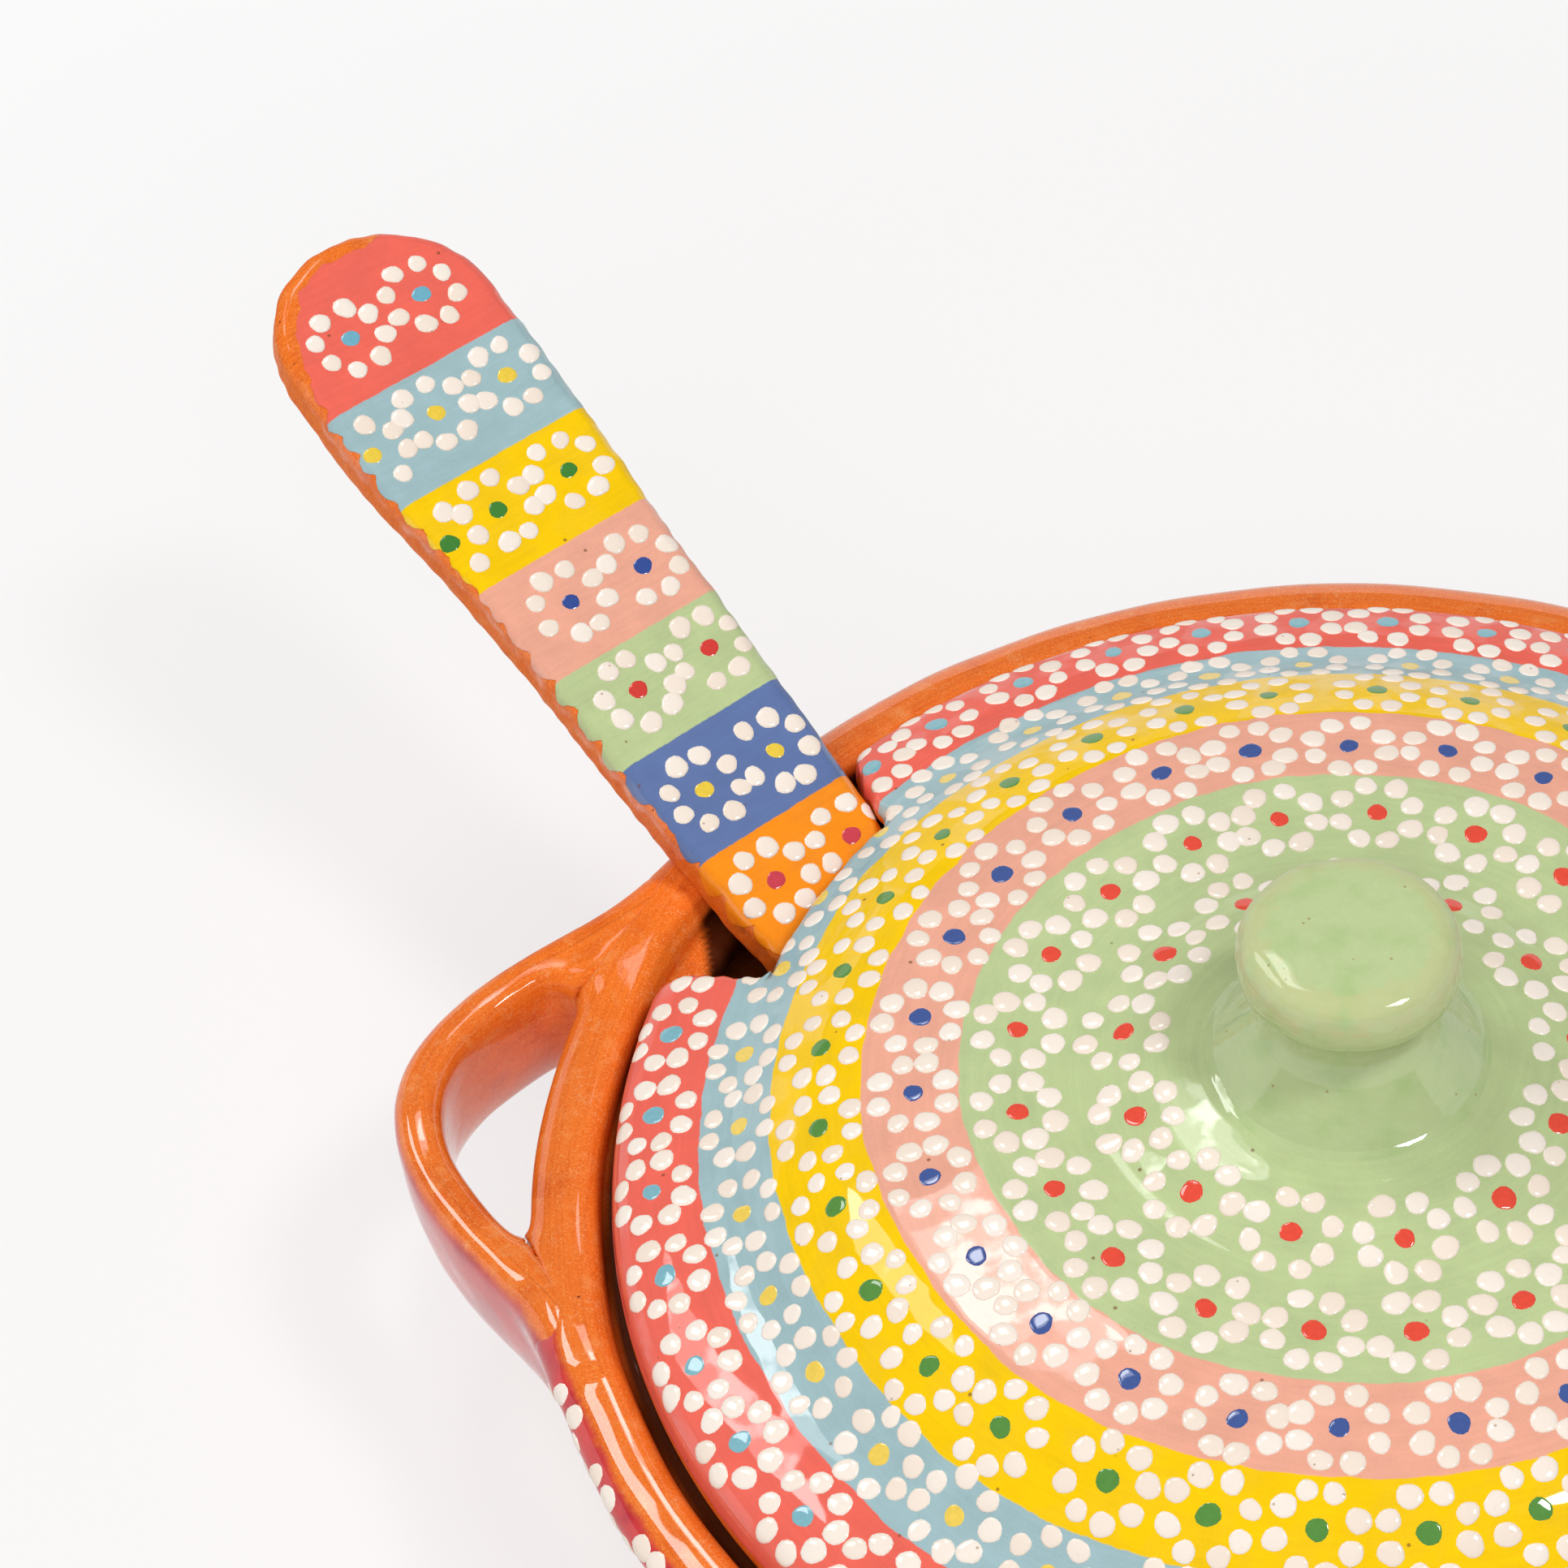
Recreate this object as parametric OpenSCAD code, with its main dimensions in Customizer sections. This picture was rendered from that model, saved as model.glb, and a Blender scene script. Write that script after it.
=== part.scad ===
// Round clay casserole with a low domed lid, two strap handles and a serving spoon.
// The spoon stands in the pot with its handle lying over the rim, through a notch in the lid.
// Millimetres, +Z up. The origin is the middle of the flat base, on the table.

/* [Pot] */
// Outside diameter of the rolled rim
rim_d = 247; // [200:1:320]
// Width of the rolled rim, across the clay
rim_w = 11.4; // [9:0.2:14]
// Height of the top of the rim above the table
rim_h = 57.1; // [48:0.1:90]
// Diameter of the flat base
base_d = 120; // [90:1:150]
// Thickness of the side wall
wall = 8; // [6:0.5:10]
// Thickness of the floor
floor_t = 8; // [6:0.5:11]
// How far the rolled rim stands out past the wall below it
rim_proud = 1.6; // [1:0.1:3]
// Width of the inner ledge that carries the lid
ledge_w = 6; // [5:0.5:8]
// Depth of the ledge below the top of the rim
ledge_drop = 4.6; // [4.4:0.1:6]

/* [Handles] */
// Direction of the left handle, counted from +X; the right handle is opposite
handle_az = 165; // [155:1:190]
// How far a handle reaches past the point where it leaves the rim
handle_reach = 25.6; // [21:0.5:34]
// Half of the angle that a handle spans on the rim
handle_span = 25; // [22:0.5:30]
// Thickness of the strap
strap_t = 7.8; // [6:0.1:10]
// Height of the strap
strap_h = 25.5; // [18:0.5:28]

/* [Lid] */
// Radial play between the lid and the inside of the rim
lid_play = 2.1; // [1.5:0.1:3]
// Height of the lid's outer edge
lid_edge_h = 9.2; // [8:0.1:12]
// Thickness of the lid, measured upright
lid_t = 5.4; // [4.4:0.1:6.8]
// Width of the sloping brim
brim_w = 14; // [11:0.5:18]
// Rise of the brim from its edge to the foot of the shoulder
brim_rise = 4.5; // [3:0.1:7]
// Width from the lid's edge to the top of the shoulder
shoulder_w = 39; // [34:1:44]
// Width from the lid's edge to where the flat crown begins
crown_w = 53; // [48:1:56]
// Height of the crown above the lid's edge
crown_rise = 16.8; // [14:0.1:26]
// Width of the flare round the foot of the knob
flare_d = 74; // [60:1:80]

/* [Knob] */
// Diameter of the knob
knob_d = 32; // [26:1:40]
// Height of the mushroom head of the knob
knob_head_h = 13; // [11:0.5:16]
// Diameter of the stem under the head
stem_d = 21.6; // [18:0.2:24]
// Height of the top of the knob above the lid's edge
knob_top_h = 46.5; // [43:0.5:54]

/* [Spoon] */
// Direction in which the spoon's handle points, counted from +X
spoon_az = 121.2; // [110:0.1:130]
// Distance of the spoon's middle line from the pot's axis
spoon_offset = 29.4; // [26:0.1:36]
// Slope of the spoon
spoon_rise = 20.5; // [19:0.5:23]
// Width of the handle near its round end
tip_w = 39.6; // [30:0.5:44]
// Width of the handle where it crosses the rim
crossing_w = 31; // [26:0.1:38]
// Width of the handle where it joins the bowl
neck_w = 17; // [14:0.5:24]
// Thickness of the handle
spoon_t = 11; // [9:0.1:13.2]
// Radius on the long edges of the handle
spoon_edge_r = 4; // [2:0.1:4.4]
// Length of the handle outside the rim's crown, to its round end
tip_reach = 123.7; // [95:0.1:140]
// Diameter of the spoon's bowl, outside, at its lip
bowl_d = 56; // [46:1:64]
// Radius of the ball that the outside of the bowl is part of
bowl_ball_r = 30; // [29:1:36]
// Wall of the bowl
bowl_wall = 5; // [4:0.2:6]
// Tilt of the bowl's lip towards level, against the handle
bowl_tilt = 10; // [4:1:16]

/* [Notch] */
// Gap beside the spoon at the inner end of the notch, on its tight side
notch_gap_in = 0.7; // [0.6:0.1:3]
// Gap beside the spoon at the lid's edge, on its tight side
notch_gap_out = 3.2; // [3:0.1:8]
// Gap beside the spoon at the inner end of the notch, on its free side
notch_free_in = 6.7; // [3:0.1:8]
// Gap beside the spoon at the lid's edge, on its free side
notch_free_out = 15.5; // [10:0.1:20]
// Clearance of the lid's underside over the spoon, where the spoon goes under the lid
lid_over_spoon = 0.6; // [0.4:0.1:2]

/* [Fits] */
// Gap between pieces that lie on each other but aren't joined
seat_gap = 0.3; // [0.2:0.05:0.5]
// Gap at the spoon's luted joint, where the handle is cut to the bowl
lute_gap = 0.02; // [0.01:0.01:0.1]

/* [Hidden] */

// Colours
CLAY = [0.84, 0.42, 0.19];
LID_GREEN = [0.65, 0.80, 0.57];
LID_RED = [0.89, 0.33, 0.34];

// Pot
rim_ro = rim_d / 2;
rim_round = rim_w / 2;
rim_ri = rim_ro - rim_w;
crown_r = rim_ro - rim_round;
base_r = base_d / 2;
ledge_z = rim_h - ledge_drop;
ledge_ri = rim_ri - ledge_w;
ledge_edge_h = 3;
ledge_foot = 9.5;
ledge_corner = 0.8;
// Sides of the large turned shapes, and of the small ones
turned_n = 120;
small_n = 72;
// The wall is a quarter of an ellipse whose middle lies this far above the rim
wall_centre_up = 12.9;
wall_centre_z = rim_h + wall_centre_up;
roll_z = rim_h - rim_round;
roll_t = asin((wall_centre_z - roll_z) / wall_centre_z);
wall_a = (rim_ro - rim_proud - base_r) / cos(roll_t);
wall_steps = 14;
rim_steps = 7;
lip_steps = 4;

// Lid
lid_r = rim_ri - lid_play;
lid_edge_z = ledge_z + seat_gap + lid_edge_h;
lip_w = 7;
lid_corner = 1.5;
crease_w = 4;
crease_rise = 1.1;
// The brim starts this high above the lid's edge, and is this share of its rise up at its middle
edge_rise = 0.3;
brim_share = 0.55;
// Heights on the riser and at the shoulder, as shares of the crown's height
riser_foot = 0.56;
riser_head = 0.79;
shoulder_share = 0.925;
// A shallow valley lies round the flare of the knob
valley_drop = 0.5;
valley_w = 4;
// Points of the flare's curve: how far in or out they lie, and how high
flare_run = 6;
flare_rise = 1.4;
slope_run = 8;
slope_rise = 4.4;
collar_run = 3.6;
collar_drop = 2.6;
dome_steps = 3;
// The lid's underside turns down to its edge this far inside the brim
under_turn = 2;
flare_r = flare_d / 2;
stem_r = stem_d / 2;
knob_r = knob_d / 2;
head_half_h = 6;
// Points of the head's curve: how far in they lie, and how far from the waist or the top
head_under_in = 2.2;
head_under_h = 2.4;
head_round_in = 2.8;
head_round_h = 1.5;
head_crown_h = 0.2;
knob_steps = 4;
waist_h = knob_top_h - knob_head_h;
stem_h = 6.5;
// The stem spreads by a little this far above its foot
stem_spread = 0.2;
stem_spread_h = 3.8;
seat_h = waist_h - stem_h;
// The foot of the knob spreads past its stem by this much
knob_foot = 1.7;
seat_r = stem_r + knob_foot;
// The riser is steepest over this width, in the middle of the shoulder
riser_w = 7;
riser_mid_r = lid_r - (brim_w + crease_w + shoulder_w) / 2;

// Spoon: its own frame has +X along the handle, +Z out of the painted face
crossing_flat = crossing_w / 2 - spoon_edge_r;
rest_off = spoon_offset + crossing_flat;
rest_d = sqrt(crown_r * crown_r - rest_off * rest_off);
rest_z = roll_z + (rim_round + seat_gap) / cos(spoon_rise);
tip_x = tip_reach - tip_w / 2;
bowl_lip_below = sqrt(bowl_ball_r * bowl_ball_r - bowl_d * bowl_d / 4);
bowl_z = spoon_t + bowl_lip_below;
bowl_x = (floor_t + seat_gap + bowl_ball_r - rest_z - bowl_z * cos(spoon_rise)) / sin(spoon_rise);
// The handle's last pad lies at this share of the lip's radius, and the bowl's ball cuts it short
neck_share = 0.8;
neck_x = bowl_x + neck_share * bowl_d / 2;
// The bowl's inside meets its lip this far above the outside
lip_rise = 0.4;
ball_steps = 12;
pad_n = 32;
pad_steps = 4;

// Notch
face_z = rest_z + spoon_t / cos(spoon_rise);
under_z = lid_edge_z + brim_rise + crease_rise - lid_t;
face_d = rest_d - (face_z - under_z + lid_over_spoon) / tan(spoon_rise);
spoon_half = crossing_w / 2;
// Half of the spoon's width where it goes under the lid
spoon_half_in = spoon_half + (crossing_w - neck_w) / 2 * (face_d - rest_d) / -neck_x;
notch_r = norm([face_d, spoon_offset - crossing_flat]);
// The notch's sides run on past the lid's edge by this share of their length
notch_over = 0.6;
notch_steps = 6;
// The cut runs past the lid by this much above and below
cut_over = 1;

// A smooth curve through a short list of points (Catmull-Rom), with steps points a span
function spline_at(a, b, c, d, t) =
    0.5 * (2 * b + (c - a) * t + (2 * a - 5 * b + 4 * c - d) * t * t
    + (3 * b - a - 3 * c + d) * t * t * t);
function smooth(p, steps) = let (n = len(p) - 1) concat(
    [for (i = [0 : n - 1]) for (k = [0 : steps - 1])
        spline_at(p[max(i - 1, 0)], p[i], p[i + 1], p[min(i + 2, n)], k / steps)],
    [p[n]]);
// Points of an arc of an ellipse, from angle t0 to t1
function arc(c, a, b, t0, t1, steps) =
    [for (i = [0 : steps]) let (t = t0 + (t1 - t0) * i / steps) c + [a * cos(t), b * sin(t)]];

// Radius of the pot's outside at height z, below the rolled rim
function wall_r(z) = base_r + wall_a * cos(asin(min((wall_centre_z - z) / wall_centre_z, 1)));

// ---- Pot ----
function pot_outside() = concat(
    arc([base_r, wall_centre_z], wall_a, wall_centre_z, -90, -roll_t, wall_steps),
    arc([crown_r, roll_z], rim_round, rim_round, 0, 90, rim_steps));

function pot_inside() = let (
    lip_t = acos((ledge_z - roll_z) / rim_round),
    foot_t = asin((wall_centre_z - ledge_z + ledge_foot) / (wall_centre_z - floor_t))
) concat(
    arc([crown_r, roll_z], rim_round, rim_round, 90 + lip_t / (lip_steps + 1), 90 + lip_t, lip_steps),
    [[ledge_ri + ledge_corner, ledge_z],
    [ledge_ri, ledge_z - ledge_corner],
    [ledge_ri, ledge_z - ledge_edge_h]],
    arc([base_r, wall_centre_z], wall_a - wall, wall_centre_z - floor_t, -foot_t, -90, wall_steps));

module pot_body() {
    color(CLAY)
        rotate_extrude($fn = turned_n)
            polygon(concat([[0, 0]], pot_outside(), pot_inside(), [[0, floor_t]]));
}

// The clay of the pot as one filled block, for cutting what is joined to its outside
module pot_block() {
    rotate_extrude($fn = turned_n)
        polygon(concat([[0, 0]], pot_outside(), [[0, rim_h]]));
}

// ---- Handles ----
strap_stations = 28;
strap_round = 3.2;
// The upper edge of the strap lies this far below the top of the rim
strap_drop = 0.6;
// The strap's outer face meets the rim at this radius, just inside the wall's top
strap_sink = 0.4;
strap_root_r = rim_ro - rim_proud - strap_sink;
// Its outer face stands upright over this share of its reach to each side, and then merges with
// the wall: it leans in with it and gets lower, down to this share of its height
strap_upright = 0.78;
strap_end_share = 0.6;

// Outer face of the strap, seen from above: a bell on the rim's circle
function strap_bell(u) = pow(cos(90 * u), 2);
function strap_xy(u) = let (r = strap_root_r + handle_reach * strap_bell(u), az = u * handle_span)
    [r * cos(az), r * sin(az)];
function strap_out(u) = let (e = 0.01, v = strap_xy(u + e) - strap_xy(u - e)) [v[1], -v[0]] / norm(v);

// Corners of the strap's section: across the strap, and down from its upper edge
function strap_section() = let (w = strap_t / 2, h = strap_h, r = strap_round) [
    for (corner = [[w - r, -r, 0], [r - w, -r, 90], [r - w, r - h, 180], [w - r, r - h, 270]])
        for (k = [0 : 3]) let (t = corner[2] + 30 * k) [corner[0] + r * cos(t), corner[1] + r * sin(t)]];

// How far the strap has merged with the wall, from 0 to 1
function strap_merge(u) = pow(max(abs(u) - strap_upright, 0) / (1 - strap_upright), 2);
function strap_ring(u) = let (
    merge = strap_merge(u),
    out = strap_out(u),
    foot = strap_xy(u) - out * strap_t / 2,
    top = rim_h - strap_drop
) [for (p = strap_section()) let (
        down = p[1] * (1 - (1 - strap_end_share) * merge),
        at = foot + out * (p[0] + (wall_r(top + down) - wall_r(top)) * merge)
    ) [at[0], at[1], top + down]];

module strap() {
    n = strap_stations;
    m = len(strap_section());
    rings = [for (i = [0 : n]) strap_ring(-1 + 2 * i / n)];
    sides = [for (i = [0 : n - 1]) for (k = [0 : m - 1]) let (a = i * m + k, b = i * m + (k + 1) % m)
        each [[a, b + m, b], [a, a + m, b + m]]];
    first = [[for (k = [0 : m - 1]) k]];
    last = [[for (k = [0 : m - 1]) n * m + m - 1 - k]];
    polyhedron(points = [for (r = rings) each r], faces = concat(sides, first, last));
}

module handle(az) {
    color(CLAY)
        difference() {
            rotate([0, 0, az]) strap();
            pot_block();
        }
}

module left_handle() {
    handle(handle_az);
}

module right_handle() {
    handle(handle_az - 180);
}

// ---- Lid ----
// The dome's outline, from the brim in to the valley round the knob's flare, at height 0
// where the lid's edge is: a gentle brim, a crease, a steep riser and a flat crown
function dome(drop) = [
    [lid_r - brim_w, brim_rise - drop],
    [lid_r - brim_w - crease_w, brim_rise + crease_rise - drop],
    [riser_mid_r + riser_w / 2, crown_rise * riser_foot - drop],
    [riser_mid_r - riser_w / 2, crown_rise * riser_head - drop],
    [lid_r - shoulder_w, crown_rise * shoulder_share - drop],
    [lid_r - crown_w, crown_rise - drop],
    [flare_r + valley_w, crown_rise - valley_drop - drop]];

function lid_top() = smooth(concat(
    [[lid_r - lid_corner, edge_rise], [lid_r - brim_w / 2, brim_rise * brim_share]],
    dome(0),
    [[flare_r - flare_run, crown_rise + flare_rise],
    [stem_r + slope_run, crown_rise + slope_rise],
    [stem_r + collar_run, seat_h - collar_drop],
    [seat_r, seat_h]]), dome_steps);

function lid_under() = let (d = dome(lid_t), n = len(d)) concat(
    [[0, d[n - 1][1]]],
    [for (i = [n - 1 : -1 : 1]) d[i]],
    [[lid_r - brim_w + under_turn, brim_rise - lid_t],
    [lid_r - lip_w, lid_corner - lid_edge_h],
    [lid_r - lip_w + lid_corner, -lid_edge_h],
    [lid_r - lid_corner, -lid_edge_h],
    [lid_r, lid_corner - lid_edge_h],
    [lid_r, -lid_corner]]);

// Seen from above, with +X along the spoon: an arc at the inner end, open at the lid's edge
function notch_point(r, off) = [sqrt(r * r - off * off), off];
function notch_outline() = let (
    tight_in = notch_point(notch_r, spoon_offset - spoon_half_in - notch_gap_in),
    tight_out = notch_point(lid_r, spoon_offset - spoon_half - notch_gap_out),
    free_in = notch_point(notch_r, spoon_offset + spoon_half_in + notch_free_in),
    free_out = notch_point(lid_r, spoon_offset + spoon_half + notch_free_out),
    t0 = atan2(tight_in[1], tight_in[0]),
    t1 = atan2(free_in[1], free_in[0])
) concat(
    [tight_out + (tight_out - tight_in) * notch_over],
    arc([0, 0], notch_r, notch_r, t0, t1, notch_steps),
    [free_out + (free_out - free_in) * notch_over]);

module lid_shell() {
    color(LID_RED)
        translate([0, 0, lid_edge_z])
            difference() {
                rotate_extrude($fn = turned_n)
                    polygon(concat([[0, seat_h]], lid_under(), lid_top()));
                rotate([0, 0, spoon_az])
                    translate([0, 0, -lid_edge_h - cut_over])
                        linear_extrude(lid_edge_h + crown_rise + 2 * cut_over)
                            polygon(notch_outline());
            }
}

module lid_knob() {
    color(LID_GREEN)
        translate([0, 0, lid_edge_z])
            rotate_extrude($fn = small_n)
                polygon(concat([[0, seat_h]], smooth([
                    [seat_r, seat_h],
                    [stem_r + stem_spread, seat_h + stem_spread_h],
                    [stem_r, waist_h],
                    [knob_r - head_under_in, waist_h + head_under_h],
                    [knob_r, knob_top_h - head_half_h],
                    [knob_r - head_round_in, knob_top_h - head_round_h],
                    [knob_r / 2, knob_top_h - head_crown_h],
                    [0, knob_top_h]], knob_steps)));
}

// ---- Spoon ----
module spoon_place() {
    rotate([0, 0, spoon_az])
        translate([rest_d, spoon_offset, rest_z])
            rotate([0, -spoon_rise, 0])
                children();
}

// A flat round pad with rounded edges, one end of a stretch of the handle
module pad(x, w) {
    r = spoon_edge_r;
    translate([x, 0, 0])
        rotate_extrude($fn = pad_n)
            polygon(concat(
                [[0, 0]],
                arc([w / 2 - r, r], r, r, -90, 0, pad_steps),
                arc([w / 2 - r, spoon_t - r], r, r, 0, 90, pad_steps),
                [[0, spoon_t]]));
}

module spoon_handle() {
    color(CLAY)
        spoon_place()
            difference() {
                union() {
                    hull() {
                        pad(tip_x, tip_w);
                        pad(0, crossing_w);
                    }
                    hull() {
                        pad(0, crossing_w);
                        pad(neck_x, neck_w);
                    }
                }
                translate([bowl_x, 0, bowl_z])
                    sphere(r = bowl_ball_r + lute_gap, $fn = small_n);
            }
}

module spoon_bowl() {
    lip_t = asin(bowl_lip_below / bowl_ball_r);
    inner_r = bowl_ball_r - bowl_wall;
    inner_t = asin((bowl_lip_below - lip_rise) / inner_r);
    color(CLAY)
        spoon_place()
            translate([bowl_x, 0, bowl_z])
                rotate([0, bowl_tilt, 0])
                    rotate_extrude($fn = small_n)
                        polygon(concat(
                            arc([0, 0], bowl_ball_r, bowl_ball_r, -90, -lip_t, ball_steps),
                            arc([0, 0], inner_r, inner_r, -inner_t, -90, ball_steps - 2)));
}

pot_body();
left_handle();
right_handle();
lid_shell();
lid_knob();
spoon_handle();
spoon_bowl();
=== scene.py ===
"""The looks of the dot-painted casserole, its lid and its spoon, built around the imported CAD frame.

Shapes are worked out in millimetres in the row frame and become metres when a mesh is made.
"""

import math

import bpy
import numpy as np
from mathutils import Matrix, Vector, noise
from mathutils.bvhtree import BVHTree


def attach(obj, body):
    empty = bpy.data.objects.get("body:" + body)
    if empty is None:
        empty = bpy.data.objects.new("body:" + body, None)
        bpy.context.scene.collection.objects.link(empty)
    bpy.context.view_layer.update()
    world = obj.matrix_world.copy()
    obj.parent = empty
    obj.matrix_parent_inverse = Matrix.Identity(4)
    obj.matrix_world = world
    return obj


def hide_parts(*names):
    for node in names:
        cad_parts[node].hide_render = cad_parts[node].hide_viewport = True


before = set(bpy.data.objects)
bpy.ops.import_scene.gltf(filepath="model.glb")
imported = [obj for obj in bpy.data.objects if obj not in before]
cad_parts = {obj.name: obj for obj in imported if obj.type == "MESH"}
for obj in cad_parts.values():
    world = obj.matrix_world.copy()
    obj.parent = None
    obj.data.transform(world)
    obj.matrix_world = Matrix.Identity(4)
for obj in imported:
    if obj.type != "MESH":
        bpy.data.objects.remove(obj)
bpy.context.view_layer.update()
MM = 0.001
UP = np.array([0.0, 0.0, 1.0])
ALONG_X, ALONG_Y = np.eye(2)

# ---- Sizes, as in the part's source ----
BASE_R, WALL_MID_Z, WALL_A, WALL_T = 60.0, 70.0, 64.2, 8.0
RIM_R, RIM_H, RIM_IN = 123.5, 57.1, 112.1
HANDLE_AZ, HANDLE_SPAN, HANDLE_REACH = 165.0, 25.0, 25.6
STRAP_T, STRAP_H, STRAP_UPRIGHT = 7.8, 25.5, 0.78
LID_Z, LID_R, NOTCH_R = 62.0, 110.0, 91.6
# Azimuths of the notch's sides, at its end and at the lid's edge
NOTCH_LEFT, NOTCH_RIGHT, NOTCH_CORNER = (154.2, 154.5), (131.3, 126.4), 4.2
SPOON_AZ, SPOON_OFF, SPOON_RISE, SPOON_T = 121.2, 29.4, 20.5, 11.0
REST_D, REST_Z = 110.47, 57.8
TIP_X, NECK_X, NECK_HALF = 103.9, -91.5, 8.5
BOWL_X, BOWL_Z, BOWL_R, BOWL_LIP_R, BOWL_WALL, BOWL_TILT = -113.4, 21.8, 30.0, 28.0, 5.0, 10.0

# ---- Sizes of the paint and the glaze ----
BACK_SINK = 3.2  # how much lower the crimson and its flowers lie at the back
PETAL_H, HEART_H = 0.27, 0.09  # how high the dots stand
WALL_DOT_R = 118.0  # the radius at which the rows of flowers on the wall are spaced
FLAT_AT = 3.58  # the angle, in radians, where the rim is pressed a little flat
DULL_SPOT, DULL_R = (-107.4, 62, 57), 30.0  # a worn place on the rim, where the glaze is thin


# ---- Curves ----
def smooth(points, steps=8):
    """A Catmull-Rom curve through a list of points."""
    p = np.asarray(points, float)
    n, t = len(p) - 1, (np.arange(steps) / steps)[:, None]
    out = []
    for i in range(n):
        a, b, c, d = p[max(i - 1, 0)], p[i], p[i + 1], p[min(i + 2, n)]
        out.append(0.5 * (2 * b + (c - a) * t + (2 * a - 5 * b + 4 * c - d) * t**2
                          + (3 * b - a - 3 * c + d) * t**3))
    return np.vstack(out + [p[n:]])


def run_of(points):
    """How far along a line of points each one is."""
    return np.r_[0, np.cumsum(np.linalg.norm(np.diff(points, axis=0), axis=1))]


def spaced(points, step):
    """The same curve with its points step apart."""
    s = run_of(points)
    at = np.linspace(0, s[-1], max(2, round(s[-1] / step) + 1))
    return np.stack([np.interp(at, s, points[:, k]) for k in range(points.shape[1])], -1)


def oval(c, a, b, t0, t1, n):
    """Points of an ellipse about c, from one angle in degrees to another."""
    t = np.radians(np.linspace(t0, t1, n))
    return np.stack([c[0] + a * np.cos(t), c[1] + b * np.sin(t)], -1)


def polar(r, az):
    """Places on a plane, from radii and azimuths in radians."""
    return np.stack([r * np.cos(az), r * np.sin(az)], -1)


def spin(az):
    """The matrix of a turn about Z, by an azimuth in degrees."""
    c, s = math.cos(math.radians(az)), math.sin(math.radians(az))
    return np.array([[c, -s, 0], [s, c, 0], [0, 0, 1]])


def waves(angle, seed, low, high, size):
    """A gentle seeded wave that closes on itself after a turn, of about that size."""
    r = np.random.default_rng(seed)
    k = np.arange(low, high + 1)
    amp, turn = r.normal(size=len(k)) / np.sqrt(len(k)), r.uniform(0, 2 * np.pi, len(k))
    a = np.asarray(angle, float)[..., None]
    return size * 1.2 * np.sum(amp * np.cos(k * a + turn), -1)


def ease(x, low, high):
    """0 at low, 1 at high, smooth between."""
    t = np.clip((np.asarray(x, float) - low) / (high - low), 0, 1)
    return t * t * (3 - 2 * t)


def rough(points, seed, grain, size):
    """Seeded smooth noise at points, with lumps about grain across."""
    shift = Vector((seed, seed * 1.7, 3.1))
    return size * np.array([noise.noise(Vector(p / grain) + shift) for p in points])


# ---- Meshes ----
def sheet_faces(n, m, close_n=False, close_m=False):
    """Quads over an n by m grid of points."""
    i, j = np.meshgrid(np.arange(n if close_n else n - 1), np.arange(m if close_m else m - 1),
                       indexing="ij")
    i2, j2 = (i + 1) % n, (j + 1) % m
    return np.stack([i * m + j, i * m + j2, i2 * m + j2, i2 * m + j], -1).reshape(-1, 4)


def fan(ring, centre, turned=False):
    """Triangles between a closed ring of point numbers and a centre."""
    ring = list(ring)
    f = [(a, b, centre) for a, b in zip(ring, ring[1:] + ring[:1])]
    return [(b, a, c) for a, b, c in f] if turned else f


def normals_of(verts, faces):
    """The normal at each point of a mesh of triangles and quads."""
    out = np.zeros_like(verts)
    for size, (a, b, c, d) in ((3, (0, 1, 0, 2)), (4, (0, 2, 1, 3))):
        f = np.array([x for x in faces if len(x) == size], int)
        if len(f):
            n = np.cross(verts[f[:, b]] - verts[f[:, a]], verts[f[:, d]] - verts[f[:, c]])
            for k in range(size):
                np.add.at(out, f[:, k], n)
    return out / np.maximum(np.linalg.norm(out, axis=1), 1e-12)[:, None]


def in_scene(name, data):
    """A new object, linked to the scene."""
    o = bpy.data.objects.new(name, data)
    bpy.context.scene.collection.objects.link(o)
    return o


class Clay:
    """A surface in millimetres: points, faces and a value at each point for each named field."""

    def __init__(self, verts, faces, **fields):
        self.v, self.f = np.asarray(verts, float), [tuple(int(k) for k in f) for f in faces]
        self.fields = {k: np.asarray(x, float) for k, x in fields.items()}

    def tree(self):
        return BVHTree.FromPolygons([tuple(p) for p in self.v], self.f)

    def normals(self):
        return normals_of(self.v, self.f)

    def piece(self, name, body, slot, material, *nodes):
        mesh = bpy.data.meshes.new(name)
        mesh.from_pydata((self.v * MM).tolist(), [], self.f)
        mesh.polygons.foreach_set("use_smooth", [True] * len(mesh.polygons))
        for k, x in self.fields.items():
            vector = x.ndim == 2
            a = mesh.attributes.new(k, "FLOAT_VECTOR" if vector else "FLOAT", "POINT")
            a.data.foreach_set("vector" if vector else "value", x.astype(np.float32).ravel())
        mesh.materials.append(material)
        mesh.update()
        o = in_scene(name, mesh)
        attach(o, body)
        if nodes:
            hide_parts(*nodes)


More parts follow.
